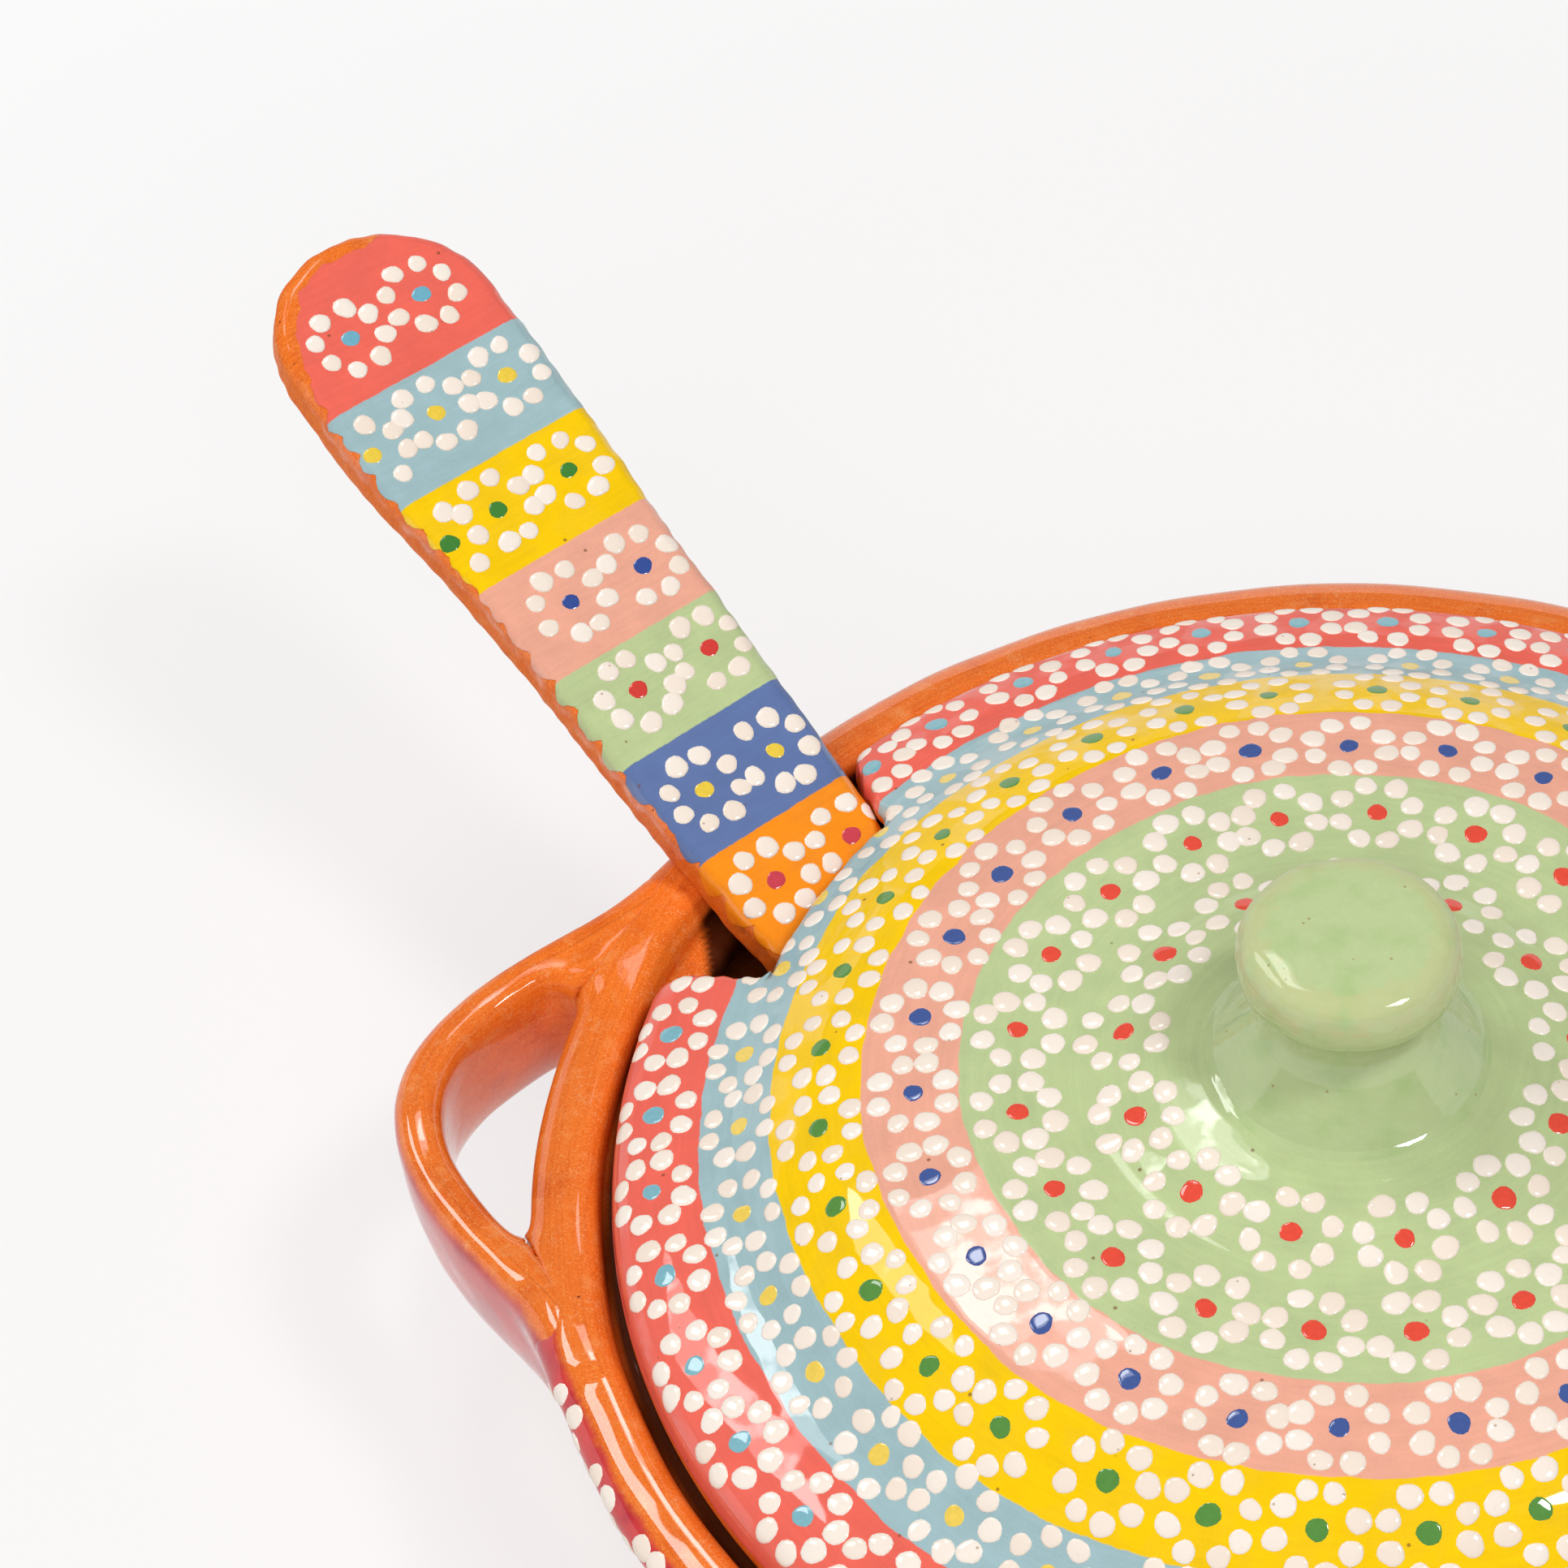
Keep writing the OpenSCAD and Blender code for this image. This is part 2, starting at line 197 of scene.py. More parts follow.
def turned(profile, columns, wobble):
    """A closed shape thrown on a wheel: the profile runs from the axis to the axis."""
    inner = profile[1:-1]
    n, m = columns, len(inner)
    az = np.linspace(0, 2 * np.pi, n, endpoint=False)[:, None] * np.ones((1, m))
    r, z = wobble(az, np.ones((n, 1)) * inner[None, :, 0], np.ones((n, 1)) * inner[None, :, 1])
    v = np.stack([r * np.cos(az), r * np.sin(az), z], -1).reshape(-1, 3)
    ends = [[0, 0, z[:, 0].mean()], [0, 0, z[:, -1].mean()]]
    f = [tuple(q) for q in sheet_faces(n, m, close_n=True)[:, ::-1]]
    f += fan([i * m for i in range(n)], n * m, turned=True)
    f += fan([i * m + m - 1 for i in range(n)], n * m + 1)
    across = run_of(profile)
    rows = np.ones((n, 1)) * across[None, 1:-1]
    flow = np.stack([6 * np.cos(az), 6 * np.sin(az), rows], -1).reshape(-1, 3)
    flow = np.vstack([flow, [[0, 0, across[0]], [0, 0, across[-1]]]])
    return Clay(np.vstack([v, ends]), f, flow=flow)


def gap_to(tree, p):
    """Distance from p to a closed surface, below 0 inside it."""
    hit, normal, _, _ = tree.find_nearest(Vector(p))
    away = Vector(p) - hit
    return math.copysign(away.length, away.dot(normal))


def lute(clay, tree, reach, near, most):
    """Draws a surface out into the fillet between it and another, as wet clay is smeared at a
    join. Past the middle of the fillet it dives under the other's surface, which is drawn out to
    match."""
    n = clay.normals()
    away = np.full(len(clay.v), 9.0)
    for i in np.flatnonzero(near):
        t, d = 0.0, 0.0
        for _ in range(7):
            d = gap_to(tree, clay.v[i] + n[i] * t)
            h = max(reach - abs(t - d), 0) / reach
            t = min(max(t - (min(t, d) - h * h * reach / 4), 0), most)
        away[i] = abs(d - t)
        clay.v[i] += n[i] * t * float(ease(d - t, -1.6, 0.4))
    clay.fields["join"] = np.minimum(away, clay.fields.get("join", away))


# ---- Shader graphs ----
def srgb(*rgb):
    """A colour written as it shows on a screen, 0 to 255."""
    c = np.array(rgb) / 255
    return (*np.where(c <= 0.04045, c / 12.92, ((c + 0.055) / 1.055) ** 2.4).tolist(), 1.0)


class Wire:
    """What comes out of a shader node, with the usual arithmetic."""

    def __init__(self, graph, socket):
        self.graph, self.socket = graph, socket

    def math(self, operation, *rest):
        return self.graph.node("ShaderNodeMath", {"operation": operation}, self, *rest)

    def __add__(self, o):
        return self.math("ADD", o)

    def __sub__(self, o):
        return self.math("SUBTRACT", o)

    def __mul__(self, o):
        return self.math("MULTIPLY", o)

    __radd__, __rmul__ = __add__, __mul__

    def __rsub__(self, o):
        return self.graph.node("ShaderNodeMath", {"operation": "SUBTRACT"}, o, self)

    def __abs__(self):
        return self.math("ABSOLUTE")

    def step(self, low, high):
        """0 below low, 1 above high, smooth between."""
        return self.graph.node("ShaderNodeMapRange", {"interpolation_type": "SMOOTHSTEP"},
                               self, low, high, 0.0, 1.0)


class Graph:
    """A material and short names for what goes in it."""

    def __init__(self, name):
        self.material = bpy.data.materials.new(name)
        self.material.use_nodes = True
        self.tree = self.material.node_tree
        self.tree.nodes.clear()
        self.place = self.shade(self.node("ShaderNodeTexCoord", {}, out="Object"), 1 / MM)

    def node(self, kind, settings, *inputs, out=0, **named):
        n = self.tree.nodes.new(kind)
        for k, x in settings.items():
            setattr(n, k, x)
        named = {k.replace("_", " "): x for k, x in named.items()}
        for k, x in [*enumerate(inputs), *named.items()]:
            if isinstance(x, Wire):
                self.tree.links.new(x.socket, n.inputs[k])
            elif x is not None:
                n.inputs[k].default_value = x
        return Wire(self, n.outputs[out]) if len(n.outputs) else None

    def field(self, name, out="Fac"):
        return self.node("ShaderNodeAttribute", {"attribute_name": name}, out=out)

    def mix(self, a, b, part):
        """Colour a, turning to b as part goes from 0 to 1."""
        not_colours = [None] * 5
        return self.node("ShaderNodeMix", {"data_type": "RGBA"}, part, *not_colours, a, b, out=2)

    def shade(self, colour, amount):
        """A colour or a place times a number."""
        return self.node("ShaderNodeVectorMath", {"operation": "SCALE"}, colour, Scale=amount)

    def noise(self, grain, detail=2.0, at=None):
        """Noise from about 0 to 1, with lumps about grain mm across."""
        return self.node("ShaderNodeTexNoise", {}, at or self.place, Scale=1 / grain,
                         Detail=detail)

    def cells(self, grain):
        """How far each place is from the nearest of many points, about grain mm apart."""
        return self.node("ShaderNodeTexVoronoi", {}, self.place, Scale=1 / grain)

    def bump(self, height, depth):
        """Normals of a relief that is height times depth mm deep."""
        return self.node("ShaderNodeBump", {}, Strength=1.0, Distance=depth * MM, Height=height)

    def finish(self, colour, relief, depth, coat=1.0):
        """Slip or clay with its own fine relief, under a clear and smoother glaze."""
        shader = self.node("ShaderNodeBsdfPrincipled", {}, Base_Color=colour, Roughness=0.6,
                           IOR=1.15, Normal=self.bump(relief, depth), Coat_Weight=coat,
                           Coat_Roughness=0.04, Coat_IOR=1.6)
        self.node("ShaderNodeOutputMaterial", {}, shader)
        return self.material


ORANGE, ORANGE_DEEP, ORANGE_PALE = srgb(243, 121, 36), srgb(216, 90, 18), srgb(248, 160, 92)
# The last colour on the next line is a painted shade, for the seat under the lid and the inside of
# the pot
PIT, HAIRLINE, PAINTED_SHADE = srgb(120, 50, 24), srgb(240, 176, 122), srgb(46, 14, 6)
CREASE, CREASE_PALE = srgb(110, 52, 30), srgb(190, 160, 148)
CRIMSON, CRIMSON_DEEP, CRIMSON_PALE = srgb(214, 62, 62), srgb(184, 34, 50), srgb(216, 84, 84)
RED, BLUE, YELLOW = srgb(240, 106, 90), srgb(160, 190, 195), srgb(250, 203, 0)
PINK, AMBER, INDIGO = srgb(238, 170, 146), srgb(252, 146, 24), srgb(98, 120, 170)
GREEN, GREEN_PALE, GREEN_DEEP = srgb(188, 204, 149), srgb(192, 210, 160), srgb(166, 194, 128)
WORN, BLISTER = srgb(208, 192, 138), srgb(150, 110, 60)
CREAM, CREAM_PALE, CREAM_DEEP = srgb(247, 233, 219), srgb(250, 240, 230), srgb(240, 220, 202)
SPECK, DOT_SPECK = srgb(120, 70, 40), srgb(150, 100, 60)


def clay_colour(g):
    """Glazed terracotta: throwing lines, mottling, small dark and pale grains."""
    flow = g.field("flow", "Vector")
    lines = g.noise(0.55, 3.0, flow)
    drift = g.noise(9.0, 3.0)
    c = g.mix(ORANGE_DEEP, ORANGE, drift.step(0.22, 0.5) * 0.6 + lines.step(0.3, 0.62) * 0.4)
    c = g.mix(c, ORANGE_PALE, g.noise(3.4, 4.0).step(0.52, 0.8) * 0.55)
    grain = g.noise(0.32, 2.0)
    c = g.mix(c, ORANGE_PALE, grain.step(0.54, 0.72) * 0.65)
    c = g.mix(c, ORANGE_DEEP, grain.step(0.44, 0.3) * 0.6)
    pits = g.cells(3.1)
    c = g.mix(c, PIT, pits.step(0.1, 0.05) * g.noise(14.0).step(0.56, 0.62))
    hairs = abs(g.noise(4.2, 4.0) - 0.5).step(0.012, 0.0) * g.noise(6.0).step(0.45, 0.6)
    c = g.mix(c, HAIRLINE, hairs * 0.4)
    relief = lines * 0.5 + grain * 0.25 + g.noise(2.2, 2.0) * 1.2 - pits.step(0.16, 0.05) * 0.6
    return c, relief


def crease(g, c):
    """Grey deposits in the crease where one piece is luted to another."""
    part = (g.field("join") + (g.noise(1.6, 2.0) - 0.5) * 1.6).step(0.75, 0.2)
    return g.mix(c, g.mix(CREASE, CREASE_PALE, g.noise(0.9).step(0.45, 0.62)), part * 0.7)


def glazed_clay(name, painted):
    """Terracotta under clear glaze, and crimson slip where the field called paint is above 0."""
    g = Graph(name)
    c, relief = clay_colour(g)
    # Painted shade: dark brown over the clay in the seat, inside the pot and in the spoon's shadow
    c = g.mix(c, PAINTED_SHADE, g.field("painted_shade"))
    if painted:
        edge = g.field("paint") + (g.noise(5.0, 3.0) - 0.5) * 3.0 + (g.noise(0.9) - 0.5) * 0.8
        red = g.mix(CRIMSON, CRIMSON_DEEP, g.noise(7.0, 3.0).step(0.4, 0.75))
        brushed = g.noise(0.7, 3.0, g.field("flow", "Vector")).step(0.55, 0.8)
        red = g.mix(red, CRIMSON_PALE, brushed * 0.5)
        c = g.mix(c, red, edge.step(-0.8, 1.2))
    return g.finish(crease(g, c), relief, 0.11, 1.0 - g.field("dull"))


def banded(name, bands, ragged, creased, gloss):
    """Painted bands: each (colour, where it ends), against the field called ring in mm, and clay
    where the field called paint is below 0. Gloss is where that field ends the glaze and where it
    has it in full."""
    g = Graph(name)
    at = g.field("ring") + (g.noise(4.5, 3.0) - 0.5) * ragged + (g.noise(0.8) - 0.5) * 0.25
    c = bands[0][0]
    for (_, start), (colour, _) in zip(bands, bands[1:]):
        c = g.mix(c, colour, (at - start).step(-0.12, 0.12))
    lines = g.noise(0.8, 3.0, g.field("flow", "Vector"))
    patches = g.noise(7.0, 4.0)
    grain = g.noise(0.28, 2.0)
    tone = 1.0 + (lines - 0.5) * 0.16 + (patches - 0.5) * 0.22 + (grain - 0.5) * 0.14
    c = g.shade(c, tone)
    specks = g.cells(5.0).step(0.075, 0.045) * g.noise(9.0).step(0.5, 0.56)
    c = g.mix(c, SPECK, specks * 0.7)
    bare, _ = clay_colour(g)
    part = (g.field("paint") + (g.noise(2.4, 3.0) - 0.5) * 1.6).step(-0.12, 0.12)
    c = g.mix(bare, c, part)
    if creased:
        c = crease(g, c)
    relief = lines * 0.35 + g.noise(2.6, 2.0) * 1.3 + grain * 0.15 + part
    covered = g.field("paint").step(*gloss) * 0.9 + 0.1
    patchy = g.noise(8.0, 5.0).step(0.46, 0.56) * 0.65 + 0.35
    return g.finish(c, relief, 0.1, covered * patchy)


def knob_slip():
    """Green slip, thin and worn where the field called wear is near 1."""
    g = Graph("knob_slip")
    lines = g.noise(0.9, 3.0, g.field("flow", "Vector"))
    c = g.mix(GREEN, GREEN_PALE, lines.step(0.45, 0.8) * 0.6)
    c = g.mix(c, GREEN_DEEP, g.noise(6.0, 4.0).step(0.45, 0.75) * 0.6)
    thin = (g.field("wear") + (g.noise(2.2, 4.0) - 0.5) * 1.6).step(0.45, 1.0)
    c = g.mix(c, WORN, thin * 0.3)
    c = g.mix(c, BLISTER, g.cells(2.8).step(0.1, 0.05) * g.noise(5.0).step(0.5, 0.6) * 0.6)
    return g.finish(c, g.noise(2.8, 3.0) * 1.4 + lines * 0.4, 0.13, 1.0 - g.field("dull"))


def petal_slip():
    """Thick dots of slip. The field called tone is a number from 0 to 1 for each dot."""
    g = Graph("cream_slip")
    tone = g.field("tone")
    c = g.mix(CREAM, CREAM_PALE, tone.step(0.3, 1.0) * 0.6)
    dull = (1.0 - tone).step(0.4, 1.0) * 0.4 + g.noise(0.9, 3.0).step(0.55, 0.85) * 0.4
    c = g.mix(c, CREAM_DEEP, dull)
    c = g.mix(c, DOT_SPECK, g.cells(4.4).step(0.06, 0.035) * 0.6)
    return g.finish(c, g.noise(1.1), 0.04, 0.6)


def heart_slip():
    """The flowers' centres, each in the colour held by the field called tint."""
    g = Graph("centre_slip")
    c = g.shade(g.field("tint", "Color"), 0.86 + g.noise(0.8, 3.0) * 0.28)
    return g.finish(c, g.noise(1.0), 0.04)


pot_material = glazed_clay("pot_glaze", True)
handle_material = glazed_clay("handle_glaze", True)
bare_material = glazed_clay("spoon_clay_glaze", False)
lid_material = banded(
    "lid_slip", [(GREEN, 56.6), (PINK, 71.1), (YELLOW, 85.0), (BLUE, 96.1), (RED, 200)],
    0.9, False, (1.5, 7.0))
spoon_material = banded(
    "spoon_slip", [(AMBER, -3.9), (INDIGO, 16.2), (GREEN, 34.8), (PINK, 54.8), (YELLOW, 74.5),
                   (BLUE, 94.5), (RED, 300)],
    0.4, True, (-3.5, -1.0))
petal_material = petal_slip()
heart_material = heart_slip()


# ---- Pot ----
def spoon_side(p):
    """How far points of the row frame are from the spoon's middle line, to its left."""
    a = math.radians(SPOON_AZ)
    return p[:, 1] * math.cos(a) - p[:, 0] * math.sin(a) - SPOON_OFF


def off_handles(az):
    """How many degrees an azimuth is from the nearer handle's."""
    return np.minimum(abs((az - HANDLE_AZ + 180) % 360 - 180), abs((az - HANDLE_AZ) % 360 - 180))


def pot_profile():
    """From under the base's middle, up the outside, over the rim and down to the floor inside."""
    under = smooth([[0, 0.9], [30, 0.9], [50, 0.7], [55, 0.1], [61, 0.05], [66, 0.45]], 6)
    wall = oval((BASE_R, WALL_MID_Z), WALL_A, WALL_MID_Z, -83, -22, 60)
    rim = smooth([[119.7, 44.4], [121.3, 48.4], [122.6, 51.0], [123.1, 53.0], [122.5, 54.6],
                  [121.0, 55.8], [119.2, 56.45], [117.2, 56.85], [115.4, 57.08], [114.0, 56.95],
                  [112.7, 56.1], [111.9, 54.6], [111.6, 52.7]], 8)
    ledge = smooth([[110.6, 52.4], [107.6, 52.4], [106.4, 51.9], [106.1, 50.6], [106.6, 48.2],
                    [110.2, 42.6]], 6)
    inside = oval((BASE_R, WALL_MID_Z), WALL_A - WALL_T, WALL_MID_Z - 8, -27.5, -90, 60)
    floor = np.array([[54, 8.0], [27, 8.0], [0, 8.0]])
    return np.vstack([spaced(under, 5)[:-1], spaced(wall, 1.6), spaced(rim, 0.5),
                      spaced(ledge, 0.8), spaced(inside[3:], 2.0), spaced(floor, 3.0)])


def pot():
    """The pot without its handles."""
    p = pot_profile()
    s = run_of(p)
    top = np.argmax(p[:, 1])
    columns = 720

    def wobble(az, r, z):
        up = ease(z, 20, 57)
        flat = np.exp(-((np.mod(az, 2 * np.pi) - FLAT_AT) / 0.6) ** 2)
        r = (r + up * (waves(az, 3, 1, 5, 0.25) + waves(az, 4, 9, 30, 0.07))
             - flat * ease(r, 117, 122) * ease(z, 30, 45))
        z = z + ease(z, 40, 57) * (waves(az, 5, 2, 7, 0.25) + waves(az, 6, 12, 40, 0.06))
        rings = np.sin(r / 1.45 + waves(az, 7, 1, 3, 0.5)) * 0.22
        return r, z + np.where((z < 20) & (np.arange(z.shape[1])[None, :] > top), rings, 0)

    body = turned(p, columns, wobble)
    # Slip covers the outside from just over the rim's outer turn to the foot
    start = s[np.argmin(np.hypot(p[:, 0] - 119.9, p[:, 1] - 56.3))]
    foot = s[np.argmin(np.hypot(p[:, 0] - 64, p[:, 1] - 0.3))]
    az = np.degrees(np.arctan2(body.v[:-2, 1], body.v[:-2, 0])).reshape(columns, -1)
    line = start - 18 * ease(off_handles(az), 20, 16)
    line = line - BACK_SINK * ease(np.sin(np.radians(az)), 0.1, 0.6)
    paint = np.minimum(line - s[None, 1:-1], s[None, 1:-1] - foot)
    body.fields["paint"] = np.r_[paint.ravel(), -20, -20]
    # Painted shade: dark inside the seat and under it, where the lid covers it, and on the ledge in
    # the spoon's shadow at the notch
    r, z = np.hypot(body.v[:, 0], body.v[:, 1]), body.v[:, 2]
    turn = np.degrees(np.arctan2(body.v[:, 1], body.v[:, 0]))
    side = spoon_side(body.v)
    covered = np.maximum(1 - ease(turn, 126, 128) * ease(turn, 155, 153),
                         ease(abs(side) - 0.9 * (113 - r), 16.5, 14.5))
    under_lid = np.maximum(covered, ease(r, 107.2, 106.2) + ease(z, 52, 51)).clip(0, 1)
    body.fields["painted_shade"] = (ease(r, 112.5, 111.9) * ease(z, 55.4, 54.2) * ease(z, 9, 12) * under_lid
                           * (0.45 + 0.5 * ease(z, 38, 47)))
    return body


# ---- Handles ----
def strap_bell(u):
    """How far out a handle is, from 0 at its ends to 1 in its middle."""
    return np.cos(np.radians(90 * u)) ** 2


def strap_xy(u):
    """The outer line of a handle about +X, seen from above, for u from -1 to 1."""
    r = RIM_R - 2.0 + HANDLE_REACH * strap_bell(u)
    return polar(r, np.radians(u * HANDLE_SPAN))


def wall_r(z):
    """The radius of the pot's outside at a height."""
    return BASE_R + WALL_A * np.cos(np.arcsin(np.minimum((WALL_MID_Z - z) / WALL_MID_Z, 1)))


def handle(az, seed, smear):
    """A strap handle at an azimuth. Smear is how much wider its first end is drawn inwards."""
    w, h = STRAP_T / 2, STRAP_H
    # The section, from the middle of the top, out over the outer edge, down and back up inside
    half = smooth([[0, 0], [1.6, -0.14], [2.8, -0.75], [3.6, -2.0], [3.95, -4.2], [4.0, -9],
                   [3.8, -14], [3.3, -18.5], [2.5, -22], [1.4, 0.9 - h], [0, 0.3 - h]], 6)
    section = spaced(np.vstack([half, (half * [-1, 1])[-2:0:-1]]), 0.8)
    s = run_of(section)
    outer = s[np.argmin(np.hypot(section[:, 0] - 3.3, section[:, 1] + 1.3))]
    lower = s[np.argmin(np.hypot(section[:, 0] - 1.4, section[:, 1] + h - 0.9))]
    n, m = 220, len(section)
    u = np.linspace(-1, 1, n)
    at, e = strap_xy(u), 0.01
    d = strap_xy(u + e) - strap_xy(u - e)
    out = np.stack([d[:, 1], -d[:, 0]], -1) / np.linalg.norm(d, axis=1)[:, None]
    merge = (np.maximum(abs(u) - STRAP_UPRIGHT, 0) / (1 - STRAP_UPRIGHT)) ** 2
    thick = 1 + waves(u * 2.4, seed, 1, 4, 0.05)
    lift = waves(u * 2.4, seed + 1, 1, 4, 0.3) * np.sqrt(strap_bell(u)) - 0.6 - 0.5 * merge
    down = section[None, :, 1] * (1 - 0.4 * merge)[:, None]
    lean = (wall_r(RIM_H - 0.6 + down) - wall_r(RIM_H - 0.6)) * merge[:, None]
    inside = np.minimum(section[None, :, 0], 0) * (smear * ease(-u, 0.44, 0.6))[:, None]
    across = -w + section[None, :, 0] * thick[:, None] + lean + inside
    xy = at[:, None, :] + out[:, None, :] * across[..., None]
    # The ends stay inside the rim's clay
    r = np.linalg.norm(xy, axis=2, keepdims=True)
    xy = xy * np.maximum(r, RIM_IN + 4.5) / r
    z = RIM_H + lift[:, None] + down
    v = np.concatenate([xy, z[..., None]], -1).reshape(-1, 3)
    quads = sheet_faces(n, m, close_m=True)
    lumps = rough(v, seed, 12.0, 0.3) + rough(v, seed + 5, 4.0, 0.05)
    v += lumps[:, None] * normals_of(v, quads)
    v = v @ spin(az).T
    ends = [v[:m].mean(0), v[-m:].mean(0)]
    f = [tuple(q) for q in quads]
    f += fan(range(m), n * m, turned=True)
    f += fan([(n - 1) * m + k for k in range(m)], n * m + 1)
    flow = np.stack([np.ones((1, m)) * run_of(at)[:, None] * 0.06, np.zeros((n, m)),
                     np.ones((n, 1)) * s[None]], -1)
    paint = np.ones((n, 1)) * np.minimum(s - outer, lower - s)[None]
    return Clay(np.vstack([v, ends]), f, flow=np.vstack([flow.reshape(-1, 3), [[0, 0, 0]] * 2]),
                paint=np.r_[paint.ravel(), -5, -5])


# ---- Lid ----
DOME = smooth([[112, -1.0], [LID_R, 0], [107, 1.5], [104, 2.6], [101, 3.45], [98, 4.05],
               [95, 4.6], [92, 5.5], [89, 7.1], [85, 9.6], [78, 13.3], [74.5, 14.55], [72, 15.3],
               [70.5, 15.58], [68, 15.86], [63, 16.36], [58.5, 16.78], [55, 16.93], [49, 16.85],
               [41, 16.42], [38, 16.44], [36.5, 16.64], [35, 17.1], [33, 17.7], [29, 18.7],
               [26, 19.12], [23, 19.5], [20.3, 20.1], [17.8, 21.4], [15.4, 23.3], [13.4, 25.6],
               [12.4, 28], [10, 31], [0, 32]], 10)[::-1]
UNDER = smooth([[0, 11.0], [41, 11.0], [57, 11.4], [71, 10.1], [78, 7.8], [85, 4.2], [89, 1.8],
                [92, 0.2], [96, -0.9], [98.5, -1.6], [101, -4.8], [103, -8.2], [104.5, -9.2],
                [LID_R, -9.2]], 10)


def dome_z(r):
    return np.interp(r, DOME[:, 0], DOME[:, 1])


def under_z(r):
    return np.interp(r, UNDER[:, 0], UNDER[:, 1])


def rounding(distance, radius):
    """How far a rounded edge falls short of a sharp one, at a distance in from it."""
    d = np.clip(distance, 0, radius)
    return radius - np.sqrt(radius**2 - (radius - d) ** 2)


def cut_side(r, az_in, az_out, turn, corner):
    """Azimuth of a side of the notch at radius r, its inner corner rounded towards the notch."""
    az = np.interp(r, [NOTCH_R, LID_R], [az_in, az_out])
    return az + turn * np.degrees(rounding(r - NOTCH_R, corner) / r)


def graded(length, fine, coarse, ends):
    """Places along a length that lie closer together near its ends: 1 start, 2 both."""
    steps, x = [0.0], 0.0
    half = length / 2 if ends == 2 else length
    while x < half:
        x += min(coarse, fine + x * 0.28)
        steps.append(x)
    steps = np.array(steps) * half / steps[-1]
    return np.r_[steps, (length - steps[:-1])[::-1]] if ends == 2 else steps


def lid():
    """The lid's shell, with its notch cut through it."""
    left_in, right_in = NOTCH_LEFT[0], NOTCH_RIGHT[0]
    outer = np.radians(graded((360 - left_in + right_in) * 1.75, 0.2, 1.1, 2) / 1.75 + left_in)
    inner = np.radians(graded((left_in - right_in) * 1.6, 0.2, 0.9, 2) / 1.6 + right_in)
    n_out, n_in = len(outer), len(inner) - 2
    ring_az = np.r_[outer, inner[1:-1] + 2 * np.pi]
    n = len(ring_az)
    rows_in = np.r_[np.linspace(6, 84, 44),
                    NOTCH_R - graded(NOTCH_R - 84, 0.15, 1.2, 1)[::-1][1:]]
    rows_out = NOTCH_R + graded(LID_R - NOTCH_R, 0.25, 1.0, 2)[1:]
    # Full rings inside the notch's end, open ones beyond it
    share = (outer - outer[0]) / (outer[-1] - outer[0])
    fade_l = np.clip(1 - share * 14, 0, 1) ** 2
    fade_r = np.clip(1 - (1 - share) * 14, 0, 1) ** 2
    notch_wave = np.zeros(n)
    across = np.sin(np.pi * np.arange(1, n_in + 1) / (n_in + 1))
    notch_wave[n_out:] = waves(inner[1:-1] * 9, 11, 3, 14, 0.28) * across
    plan = []
    for r in rows_in:
        rr = r + notch_wave * math.exp(-((NOTCH_R - r) / 3) ** 2)
        plan.append(polar(rr, ring_az))
    for r in rows_out:
        left = (cut_side(r, *NOTCH_LEFT, -1, 2.6) - left_in
                + math.degrees(0.22 * math.sin(r * 1.7) / r))
        right = (cut_side(r, *NOTCH_RIGHT, 1, 2.0) - right_in
                 + math.degrees(0.2 * math.sin(r * 1.3 + 1) / r))
        az = outer + np.radians(left) * fade_l + np.radians(right) * fade_r
        side = np.minimum(abs(az - az[0]), abs(az - az[-1])) * LID_R
        rr = r - rounding(side, NOTCH_CORNER) * ease(r, LID_R - 9, LID_R) * (
            1 - 0.5 * (abs(az - az[-1]) < 0.3))
        plan.append(polar(rr, az))
    start = np.r_[0, np.cumsum([len(p) for p in plan])]
    xy = np.vstack(plan)
    k_in = len(rows_in)

    # The edge as a loop of point numbers: the outer edge, a side, the notch's end, the other side
    last = len(plan) - 1
    ring_edge = [start[last] + j for j in range(n_out)]
    right_side = [start[i] + n_out - 1 for i in range(last - 1, k_in - 1, -1)]
    end = [start[k_in - 1] + j for j in list(range(n_out - 1, n)) + [0]]
    left_side = [start[i] for i in range(k_in, last)]
    loop = np.array(ring_edge + right_side + end + left_side)
    edge = xy[loop]
    r = np.hypot(xy[:, 0], xy[:, 1])
    dist, nearest = np.full(len(xy), 9.0), np.zeros(len(xy), int)
    close = np.flatnonzero(r > NOTCH_R - 6)
    for part in np.array_split(close, 40):
        gap = np.hypot(*(xy[part][:, None, :] - edge[None]).transpose(2, 0, 1))
        nearest[part], dist[part] = gap.argmin(1), gap.min(1)
    edge_r = np.r_[np.full(n_out, 2.4), np.full(len(loop) - n_out, 1.5)][nearest]
    az = np.arctan2(xy[:, 1], xy[:, 0])
    plane = np.c_[xy, np.zeros(len(xy))]
    lumps = rough(plane, 21, 16.0, 0.13) + rough(plane, 22, 5.0, 0.045)
    wave = (waves(az, 23, 2, 6, 0.12) * ease(r, 20, 60) + lumps) * ease(r, 14, 24)
    top = dome_z(r) + wave - rounding(dist, edge_r)
    under = under_z(r) + wave * 0.5 + rounding(dist, 1.4)
    count = len(xy)
    v = np.vstack([np.c_[xy, top], np.c_[xy, under]])

    f = []
    for i in range(last):
        a, b = start[i], start[i + 1]
        for j in range(n if i < k_in - 1 else n_out - 1):
            k = (j + 1) % n
            f.append((a + j, b + j, b + k, a + k))
    f += [(b + count, a + count, d + count, c + count) for a, b, c, d in f]
    centre = [2 * count, 2 * count + 1]
    f += fan(range(n), centre[0]) + fan([count + j for j in range(n)], centre[1], turned=True)
    v = np.vstack([v, [[0, 0, dome_z(0)], [0, 0, under_z(0)]]])

